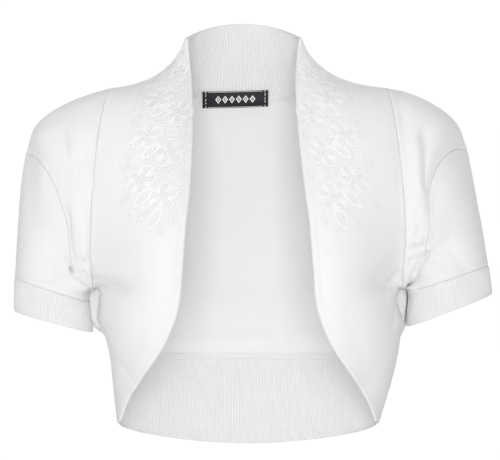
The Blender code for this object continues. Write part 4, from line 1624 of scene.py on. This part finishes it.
class OnFront:
    """Places on a front, by millimetres across from its edge and down from the shoulder."""

    def __init__(self, side):
        cloth = cloth_of(f"front_{side}")
        edge = length_along(cloth.outer[:, 0])
        rows = np.interp(np.arange(0, MAP_DOWN + 1.0), edge, np.arange(len(edge)))
        low = np.minimum(rows.astype(int), len(edge) - 2)
        share = (rows - low)[:, None, None]
        lines, normals = ((1 - share) * grid[low] + share * grid[low + 1]
                          for grid in (cloth.outer, cloth.normals))
        at = np.arange(0, MAP_ACROSS + 1.0)
        marks = [length_along(line) for line in lines]
        self.places, normals = (
            np.array([read_at(at, mark, values) for mark, values in zip(marks, grid)])
            for grid in (lines, normals))
        self.normals = unit(normals)

    def at(self, flat, height):
        """Points at a height over the cloth, and the normals there."""
        across = np.clip(flat[:, 0], 0, MAP_ACROSS - 0.001)
        down = np.clip(flat[:, 1], 0, MAP_DOWN - 0.001)
        column, row = across.astype(int), down.astype(int)
        u, v = (across - column)[:, None], (down - row)[:, None]

        def blend(values):
            upper = (1 - u) * values[row, column] + u * values[row, column + 1]
            lower = (1 - u) * values[row + 1, column] + u * values[row + 1, column + 1]
            return (1 - v) * upper + v * lower

        normals = unit(blend(self.normals))
        return blend(self.places) + np.reshape(height, (-1, 1)) * normals, normals


def evenly(line, step, closed=False):
    """A flat line divided evenly, on a smooth curve through its points."""
    ends = len(line) - (0 if closed else 1)
    fine = smooth(np.asarray(line, float), np.linspace(0, ends, ends * SMOOTH_STEPS + 1), 0, closed)
    length = length_along(fine)
    at = np.linspace(0, length[-1], max(int(round(length[-1] / step)), 3) + 1)
    return read_at(at[:-1] if closed else at, length, fine)


def beside(line, offset, closed):
    """A line that runs beside a flat line at a distance."""
    return line + offset * unit(headings_of(line, closed) @ np.array([[0, -1], [1, 0]]))


def turned(points, degrees):
    turn = math.radians(degrees)
    across = np.array([math.cos(turn), -math.sin(turn)])
    down = np.array([math.sin(turn), math.cos(turn)])
    return np.stack([points @ across, points @ down], axis=1)


def polar(angles, reach):
    """Flat points at angles from straight down, at a reach from the middle."""
    return np.stack([np.sin(angles) * reach, np.cos(angles) * reach], axis=1)


def petal_line(shape, petals, radius, turn):
    """Some petals of a flower as one line about its middle."""
    found = [(angle + 360 / PETALS * k, reach) for k in petals
             for angle, reach in zip(shape["angle"], shape["radius"])]
    angles, reach = np.array(found).T
    return turned(polar(np.radians(angles), reach) * radius, turn)


def flower_lines(radius, turn):
    """The lines of a flower about its middle."""
    yield "pair", petal_line(PETAL, range(PETALS), radius, turn), True
    yield "single", petal_line(WAVY_PETAL, range(PETALS), radius, turn), True
    for petal in range(PETALS):
        yield "single", petal_line(INNER_PETAL, [petal], radius, turn), False
        yield "vein", turned(np.array(PETAL_VEIN) * radius, turn - 360 / PETALS * petal), False
    yield "single", polar(np.radians(np.arange(0, 360, 45)), 1) * radius * 0.2, True


def leaf_lines(kind, length, turn):
    """The lines of a leaf from its foot: its outline, its rib and the veins beside it."""
    yield kind, turned(columns_of(LEAF, "side", "along") * length, turn), True
    yield "vein", turned(np.array(LEAF_RIB) * length, turn), False
    for start, side in ((0.22, 1), (0.36, -1), (0.5, 1), (0.62, -1)):
        branch = np.array([[0, start], [0.07 * side, start + 0.08], [0.13 * side, start + 0.2]])
        yield "vein", turned(branch * length, turn), False


def applique_lines():
    """The flat lines of the applique: kind, points and whether each closes on itself."""
    for across, down, radius, turn in rows_of(FLOWERS):
        for kind, line, closed in flower_lines(radius, turn):
            yield kind, line + (across, down), closed
    for leaves, outline in ((LEAVES, "pair"), (SMALL_LEAVES, "single")):
        for across, down, length, turn in rows_of(leaves):
            for kind, line, closed in leaf_lines(outline, length, turn):
                yield kind, line + (across, down), closed
    flowers = list(zip(FLOWERS["across"], FLOWERS["down"], FLOWERS["radius"]))
    for (*one, here), (*other, there) in zip(flowers, flowers[1:]):
        run = unit(np.subtract(other, one))
        start, end = one + STEM_REACH * here * run, other - STEM_REACH * there * run
        yield "single", np.array([start, (start + end) / 2 + STEM_BOW * run[::-1], end]), False
    for across, down, heading, size, way in rows_of(TENDRILS):
        angle = np.linspace(0, 2 * np.pi * TENDRIL_TURNS, TENDRIL_POINTS)
        curl = np.stack([np.sin(angle) * way, 1 - np.cos(angle)], axis=1)
        curl *= (size * 0.5 * (1 - angle / angle[-1] * 0.72))[:, None]
        yield "single", turned(curl, heading) + (across, down), False


def filler_lines(lines):
    """Small leaves, loops and curls that fill the cloth between the larger motifs."""
    taken = np.concatenate([evenly(line, FILLER_STEP, closed) for _, line, closed in lines])
    chance = np.random.default_rng(FILLER_SEED)
    for _ in range(FILLER_TRIES):
        down = chance.uniform(COVER["down"][0], COVER["down"][-1])
        first, last = looked_up(COVER, "first", down), looked_up(COVER, "last", down)
        middle = np.array([chance.uniform(first, last), down])
        kind, turn = chance.integers(3), chance.uniform(0, 360)
        free = np.linalg.norm(taken - middle, axis=1).min()
        if free < FILLER_REACH:
            continue
        size = min(free, FILLER_MOST) * FILLER_SHARE
        if kind == 0:
            line = np.stack([LEAF["side"] * 1.5, LEAF["along"] - 0.5], axis=1) * size * 2
            found = [("single", turned(line, turn) + middle, True)]
        elif kind == 1:
            angle = np.radians(np.arange(0, 360, 30))
            line = polar(angle, size * (0.82 + 0.18 * np.cos(3 * angle)))
            found = [("single", line + middle, True), ("vein", line * 0.42 + middle, True)]
        else:
            angle = np.linspace(0, 2 * np.pi * TENDRIL_TURNS, TENDRIL_POINTS)
            line = polar(angle, size * (1 - 0.7 * angle / angle[-1]))
            found = [("single", turned(line, turn) + middle, False)]
        yield from found
        more = [evenly(line, FILLER_STEP, closed) for _, line, closed in found]
        taken = np.concatenate([taken, *more])


def applique_beads():
    """Flat places and sizes of the beads of the applique."""
    for across, down, radius, turn in rows_of(FLOWERS):
        yield across, down, PEARL_SIZE
        for k in range(PETALS):
            angle = math.radians(turn + 180 / PETALS + 360 / PETALS * k)
            reach = STAMEN_REACH * radius
            yield across + reach * math.sin(angle), down + reach * math.cos(angle), BEAD_SIZE
        for k in range(PETALS):
            angle = math.radians(-turn + 360 / PETALS * k)
            reach = PETAL_BEAD_REACH * radius
            yield (across + reach * math.sin(angle), down + reach * math.cos(angle),
                   BEAD_SIZE * 0.9)
    for across, down, length, turn in rows_of(LEAVES):
        tip = turned(np.array([[0, 1.1 * length]]), turn)[0]
        yield across + tip[0], down + tip[1], BEAD_SIZE
    for across, down, heading, size, way in rows_of(TENDRILS):
        middle = turned(np.array([[0, 0.42 * size]]), heading)[0]
        yield across + middle[0], down + middle[1], BEAD_SIZE
    chance = np.random.default_rng(SCATTER_SEED)
    for _ in range(SCATTERED_BEADS):
        down = chance.uniform(*SCATTER_DOWN)
        across = chance.uniform(6, 76 if down > 30 else 58)
        yield across, down, BEAD_SIZE * chance.uniform(0.7, 1.0)


def add_applique(side):
    front = OnFront(side)
    heap = Heap()
    lines = list(applique_lines())
    for number, (kind, line, closed) in enumerate([*lines, *filler_lines(lines)]):
        flat = evenly(line, CORD_STEP, closed)
        lift = CORD_LIFT * (number % 3)
        radius, offsets = CORDS[kind]
        for offset in offsets:
            points, normals = front.at(beside(flat, offset, closed), radius * CORD_SIT + lift)
            heap.tube(points, normals, radius, CORD_SIDES, closed, CORD_HEIGHT, CORD_TWIST,
                      CORD_LOBE)
    dress(heap.made(f"corded_applique_{side}"), "cord", "cord", f"applique_{side}")
    beads = Heap()
    places = np.array(list(applique_beads()))
    sizes = places[:, 2]
    points, normals = front.at(places[:, :2], sizes * 0.8)
    beads.copies(small_shape("bead"), points, normals, sizes, [BEAD_LEAD] * len(sizes), flat=0.85)
    dress(beads.made(f"pearls_{side}"), "pearl", "cord")


def strip_beside(name, edge):
    """Points and normals in lines beside a panel's top or low edge, on its inner side."""
    cloth = cloth_of(name)
    lengths = cloth.panel.lengths(0)
    away = np.array(ALLOWANCE_LINES)
    away = away if edge == "top" else lengths[-1] - away
    lines = np.interp(away, lengths, np.arange(len(lengths)))
    points, normals = cloth.panel.at(lines, cloth.columns)
    thickness = bpy.context.scene.jacket_sizes.jersey_thickness
    return points - (thickness + ALLOWANCE_CLEARANCE) * normals, normals


def add_allowance(name, panel_name, edge, start=0, end=None):
    """An overlocked seam allowance, pressed against the inside of a panel, and its thread."""
    points, normals = (grid[:, start:end] for grid in strip_beside(panel_name, edge))
    wave = noise_at(points[-1] / ALLOWANCE_WAVE)
    lift = ALLOWANCE_LIFT * np.linspace(0, 1, len(points))[:, None] * (1 + wave)
    points = points - lift[..., None] * normals
    points[-1] += (ALLOWANCE_WAVER * wave)[:, None] * unit(points[-1] - points[-2])
    length = measured(points, 1)
    piece = wall_of_cloth(name, points, points - ALLOWANCE_THICKNESS * normals, length,
                          measured(points, 0), cut_panels()[panel_name].closed)
    dress(piece, "allowance", "jersey")
    outer = points - (ALLOWANCE_THICKNESS + OVERLOCK_RADIUS * 0.6) * normals
    run = length[2]
    teeth = int(run[-1] / OVERLOCK_PITCH)
    at = np.linspace(0, run[-1], teeth * 4 + 1)
    swing = np.tile((0.0, 0.5, 1.0, 0.5), teeth + 1)[:len(at), None]
    first, middle, last, up = (read_at(at, run, line)
                               for line in (outer[0], outer[2], outer[-1], -normals[2]))
    zigzag = np.where(swing < 0.5, first, np.where(swing > 0.5, last, middle))
    heap = Heap()
    for line, share in ((zigzag, 1.0), (last + 0.1 * up, 1.1), (first + 0.1 * up, 1.0)):
        heap.tube(line, up, OVERLOCK_RADIUS * share, THREAD_SIDES)
    dress(heap.made(f"{name}_thread"), "thread", "jersey")


def add_edge_stitches(side):
    """The line of stitches that holds down the turned edge of a front."""
    front = cloth_of(f"front_{side}")
    wide = front.across[:, -1] < EDGE_STITCH_IN * 2
    rows = range(int(np.argmax(wide)) if wide.any() else len(wide))
    line, normals = (np.array([read_at(EDGE_STITCH_IN, front.across[k], grid[k]) for k in rows])
                     for grid in (front.outer, front.normals))
    length = length_along(line)
    at = np.arange(STITCH_PITCH, length[-1] - STITCH_PITCH, STITCH_PITCH)
    places, ups, runs = (read_at(at, length, values)
                         for values in (line, normals, np.gradient(line, axis=0)))
    heap = Heap()
    heap.copies(small_shape("stitch"), places + 0.1 * ups, ups, [STITCH_LENGTH] * len(at), runs)
    dress(heap.made(f"edge_stitches_{side}"), "thread", "jersey")


def tree_of_pieces(*names):
    """The faces of some pieces, to lay things on them."""
    points, faces = [], []
    for name in names:
        mesh = bpy.data.objects[name].data
        start = len(points)
        points += [vertex.co.copy() for vertex in mesh.vertices]
        faces += [[corner + start for corner in face.vertices] for face in mesh.polygons]
    return BVHTree.FromPolygons(points, faces)


def add_label():
    """The woven label: it lies inside over the collar seam, sewn down at both ends."""
    tree = tree_of_pieces("rib_collar", "jersey_back", "collar_seam_allowance")
    count = int(2 * LABEL_HALF_WIDTH / LABEL_CELL) + 1
    across = np.linspace(-LABEL_HALF_WIDTH, LABEL_HALF_WIDTH, count)
    falls = np.linspace(0, LABEL_HEIGHT, int(LABEL_HEIGHT / LABEL_CELL) + 1)
    x_of = LABEL_MIDDLE_X + across
    z_of = LABEL_TOP_Z - falls[:, None] + LABEL_TILT * across[None, :]

    def depth_at(x, z):
        hit = tree.ray_cast(Vector((x, LABEL_SEEN_FROM_Y, z)) * METRES, (0, 1, 0))[0]
        return hit.y / METRES

    behind = np.array([[depth_at(x, z) for x, z in zip(x_of, row)] for row in z_of])
    for _ in range(LABEL_EVENINGS):
        padded = np.pad(behind, 1, mode="edge")
        near = [padded[1 + r:padded.shape[0] - 1 + r, 1 + c:padded.shape[1] - 1 + c]
                for r in (-1, 0, 1) for c in (-1, 0, 1)]
        behind = np.minimum(behind, sum(near) / 9)
    middle = 1 - (across / LABEL_HALF_WIDTH) ** 2
    bow = LABEL_BOW * middle[None, :] * np.sin(np.pi * np.linspace(0.15, 1, len(falls)))[:, None]
    points = np.stack(np.broadcast_arrays(x_of[None, :], behind - LABEL_CLEARANCE - bow, z_of),
                      axis=-1)
    normals = unit(np.cross(np.gradient(points, axis=1), np.gradient(points, axis=0)))
    if normals[..., 1].mean() > 0:
        normals = -normals
    lying, down = np.broadcast_arrays(across[None, :], (falls - LABEL_HEIGHT / 2)[:, None])
    piece = wall_of_cloth("woven_label_black", points + LABEL_THICKNESS * normals, points, lying,
                          down, False)
    dress(piece, "label", "label_cloth", "label")
    heap = Heap()
    outer = points + (LABEL_THICKNESS + 0.12) * normals
    rows = np.linspace(1, len(falls) - 2, LABEL_EDGE_STITCHES).astype(int)
    for column in (3, len(across) - 4):
        heap.copies(small_shape("stitch"), outer[rows, column], normals[rows, column],
                    [LABEL_STITCH_LENGTH] * len(rows), [LABEL_STITCH_LEAD] * len(rows))
    stitches = heap.made("label_stitches")
    dress(stitches, "thread", "jersey")


def millimetres(name, description, default, least, most):
    return bpy.props.FloatProperty(name=name, description=f"{description}, in millimetres",
                                   default=default, min=least, max=most)


def tone(name, description, default):
    return bpy.props.FloatVectorProperty(name=name, description=description, subtype="COLOR",
                                         default=default, min=0.0, max=1.0)


class JacketSizes(bpy.types.PropertyGroup):
    """Sizes of the cloth and its knit, in millimetres."""

    cell: millimetres("Cell", "How finely the jersey is divided", 2.2, 1.0, 10.0)
    jersey_thickness: millimetres("Jersey thickness", "Thickness of the jersey", 1.5, 0.5, 3.0)
    rib_thickness: millimetres("Rib thickness", "Thickness of the rib knit", 1.5, 0.5, 3.0)
    rib_relief: millimetres("Rib relief", "How far each rib stands out", 0.7, 0.0, 2.0)
    band_rib: millimetres("Hem rib pitch", "From rib to rib on the hem band", 3.0, 1.0, 10.0)
    collar_rib: millimetres("Collar rib pitch", "From rib to rib on the collar", 3.2, 1.0, 10.0)
    cuff_rib: millimetres("Cuff rib pitch", "From rib to rib on the cuffs", 2.6, 1.0, 10.0)


class JacketTones(bpy.types.PropertyGroup):
    """Colours of the cloth, cords, label and floor."""

    jersey: tone("Jersey", "Colour of the jersey", JERSEY_WHITE)
    rib: tone("Rib knit", "Colour of the rib knit", RIB_WHITE)
    cord: tone("Cord", "Colour of the cords, beads and threads", CORD_WHITE)
    label: tone("Label", "Ground colour of the woven label", LABEL_BLACK)
    floor: tone("Floor", "Colour of the floor", FLOOR_WHITE)


class JACKET_OT_jersey(bpy.types.Operator):
    """Make the back and both fronts in jersey"""

    bl_idname = "jacket.jersey"
    bl_label = "Back and Fronts"

    def execute(self, context):
        add_panel("back", "rib_collar", "jersey_front_left")
        for side in SIDES:
            add_panel(f"front_{side}", "jersey_back")
        return {"FINISHED"}


class JACKET_OT_sleeves(bpy.types.Operator):
    """Make the sleeve caps and the lower sleeves in jersey"""

    bl_idname = "jacket.sleeves"
    bl_label = "Sleeves"

    def execute(self, context):
        for side in SIDES:
            add_panel(f"cap_{side}", "jersey_back", f"jersey_front_{side}")
            add_panel(f"sleeve_{side}", f"jersey_cap_{side}")
        return {"FINISHED"}


class JACKET_OT_ribs(bpy.types.Operator):
    """Make the collar, the cuffs and the hem band in rib knit"""

    bl_idname = "jacket.ribs"
    bl_label = "Ribbed Bands"

    def execute(self, context):
        add_panel("collar", "jersey_back")
        add_panel("hem_band", "jersey_back")
        for side in SIDES:
            add_panel(f"cuff_{side}", f"jersey_sleeve_{side}")
        return {"FINISHED"}


class JACKET_OT_seams(bpy.types.Operator):
    """Make the overlocked seams inside and the stitches along the front edges"""

    bl_idname = "jacket.seams"
    bl_label = "Seams and Stitches"

    def execute(self, context):
        add_allowance("hem_seam_allowance", "back", "low", 3, -3)
        middle = (cut_panels()["back"].grid.shape[1] - 1) / 2
        neck = [number for number, column in enumerate(cloth_of("back").columns)
                if abs(column - middle) < NECK_STEPS - 0.2]
        add_allowance("collar_seam_allowance", "back", "top", neck[0], neck[-1] + 1)
        for side in SIDES:
            add_allowance(f"armhole_seam_allowance_{side}", f"cap_{side}", "top")
            add_allowance(f"cap_seam_allowance_{side}", f"sleeve_{side}", "top")
            add_allowance(f"cuff_seam_allowance_{side}", f"sleeve_{side}", "low")
            add_edge_stitches(side)
        return {"FINISHED"}


class JACKET_OT_applique(bpy.types.Operator):
    """Lay the corded flowers, leaves and beads on both fronts"""

    bl_idname = "jacket.applique"
    bl_label = "Corded Applique"

    def execute(self, context):
        for side in SIDES:
            add_applique(side)
        return {"FINISHED"}


class JACKET_OT_label(bpy.types.Operator):
    """Sew the woven label over the collar seam"""

    bl_idname = "jacket.label"
    bl_label = "Woven Label"

    def execute(self, context):
        add_label()
        return {"FINISHED"}


class JACKET_OT_stage(bpy.types.Operator):
    """Set up the floor, the soft light and the camera"""

    bl_idname = "jacket.stage"
    bl_label = "Stage"

    def execute(self, context):
        start_afresh()
        bpy.ops.mesh.primitive_circle_add(vertices=96, radius=FLOOR_RADIUS, fill_type="NGON",
                                          location=(0, 0, FLOOR_Z))
        floor = context.object
        floor.name = "floor"
        floor.data.materials.append(finish_of("floor"))
        scene = context.scene
        scene.world = bpy.data.worlds.new("studio")
        scene.world.use_nodes = True
        nodes, links = scene.world.node_tree.nodes, scene.world.node_tree.links
        room, backdrop = nodes["Background"], nodes.new("ShaderNodeBackground")
        for light, strength in ((room, ROOM_LIGHT), (backdrop, BACKDROP_LIGHT)):
            light.inputs["Color"].default_value = (1, 1, 1, 1)
            light.inputs["Strength"].default_value = strength
        seen, both = nodes.new("ShaderNodeLightPath"), nodes.new("ShaderNodeMixShader")
        links.new(seen.outputs["Is Camera Ray"], both.inputs[0])
        links.new(room.outputs[0], both.inputs[1])
        links.new(backdrop.outputs[0], both.inputs[2])
        links.new(both.outputs[0], nodes["World Output"].inputs["Surface"])
        scene.view_settings.view_transform = "Standard"
        for name, place, size, power in LAMPS:
            bpy.ops.object.light_add(type="AREA", location=place)
            lamp = context.object
            lamp.name = name
            lamp.data.size = size
            lamp.data.energy = power
            aim = Vector(LAMP_AIM) - Vector(place)
            lamp.rotation_euler = aim.to_track_quat("-Z", "Y").to_euler()
        bpy.ops.object.camera_add(location=CAMERA_PLACE, rotation=(math.pi / 2, 0, 0))
        camera = context.object
        camera.data.lens = CAMERA_LENS
        camera.data.sensor_width = 36
        camera.data.clip_end = 100
        scene.camera = camera
        return {"FINISHED"}


class JACKET_PT_finish(bpy.types.Panel):
    """Lists the jacket's operators, sizes and colours"""

    bl_label = "Bolero Jacket"
    bl_idname = "JACKET_PT_finish"
    bl_space_type = "VIEW_3D"
    bl_region_type = "UI"
    bl_category = "Jacket"

    def draw(self, context):
        layout = self.layout
        for group in (context.scene.jacket_sizes, context.scene.jacket_tones):
            column = layout.column()
            for name in type(group).__annotations__:
                column.prop(group, name)
        for operator in OPERATORS:
            layout.operator(operator.bl_idname)


OPERATORS = (
    JACKET_OT_jersey,
    JACKET_OT_sleeves,
    JACKET_OT_ribs,
    JACKET_OT_seams,
    JACKET_OT_applique,
    JACKET_OT_label,
    JACKET_OT_stage,
)


def register():
    for made in (JacketSizes, JacketTones, *OPERATORS, JACKET_PT_finish):
        bpy.utils.register_class(made)
    bpy.types.Scene.jacket_sizes = bpy.props.PointerProperty(type=JacketSizes)
    bpy.types.Scene.jacket_tones = bpy.props.PointerProperty(type=JacketTones)


def unregister():
    del bpy.types.Scene.jacket_tones
    del bpy.types.Scene.jacket_sizes
    for made in (JACKET_PT_finish, *reversed(OPERATORS), JacketTones, JacketSizes):
        bpy.utils.unregister_class(made)


def main():
    register()
    bpy.ops.jacket.jersey()
    bpy.ops.jacket.sleeves()
    bpy.ops.jacket.ribs()
    bpy.ops.jacket.seams()
    bpy.ops.jacket.applique()
    bpy.ops.jacket.label()
    bpy.ops.jacket.stage()


if __name__ == "__main__":
    main()
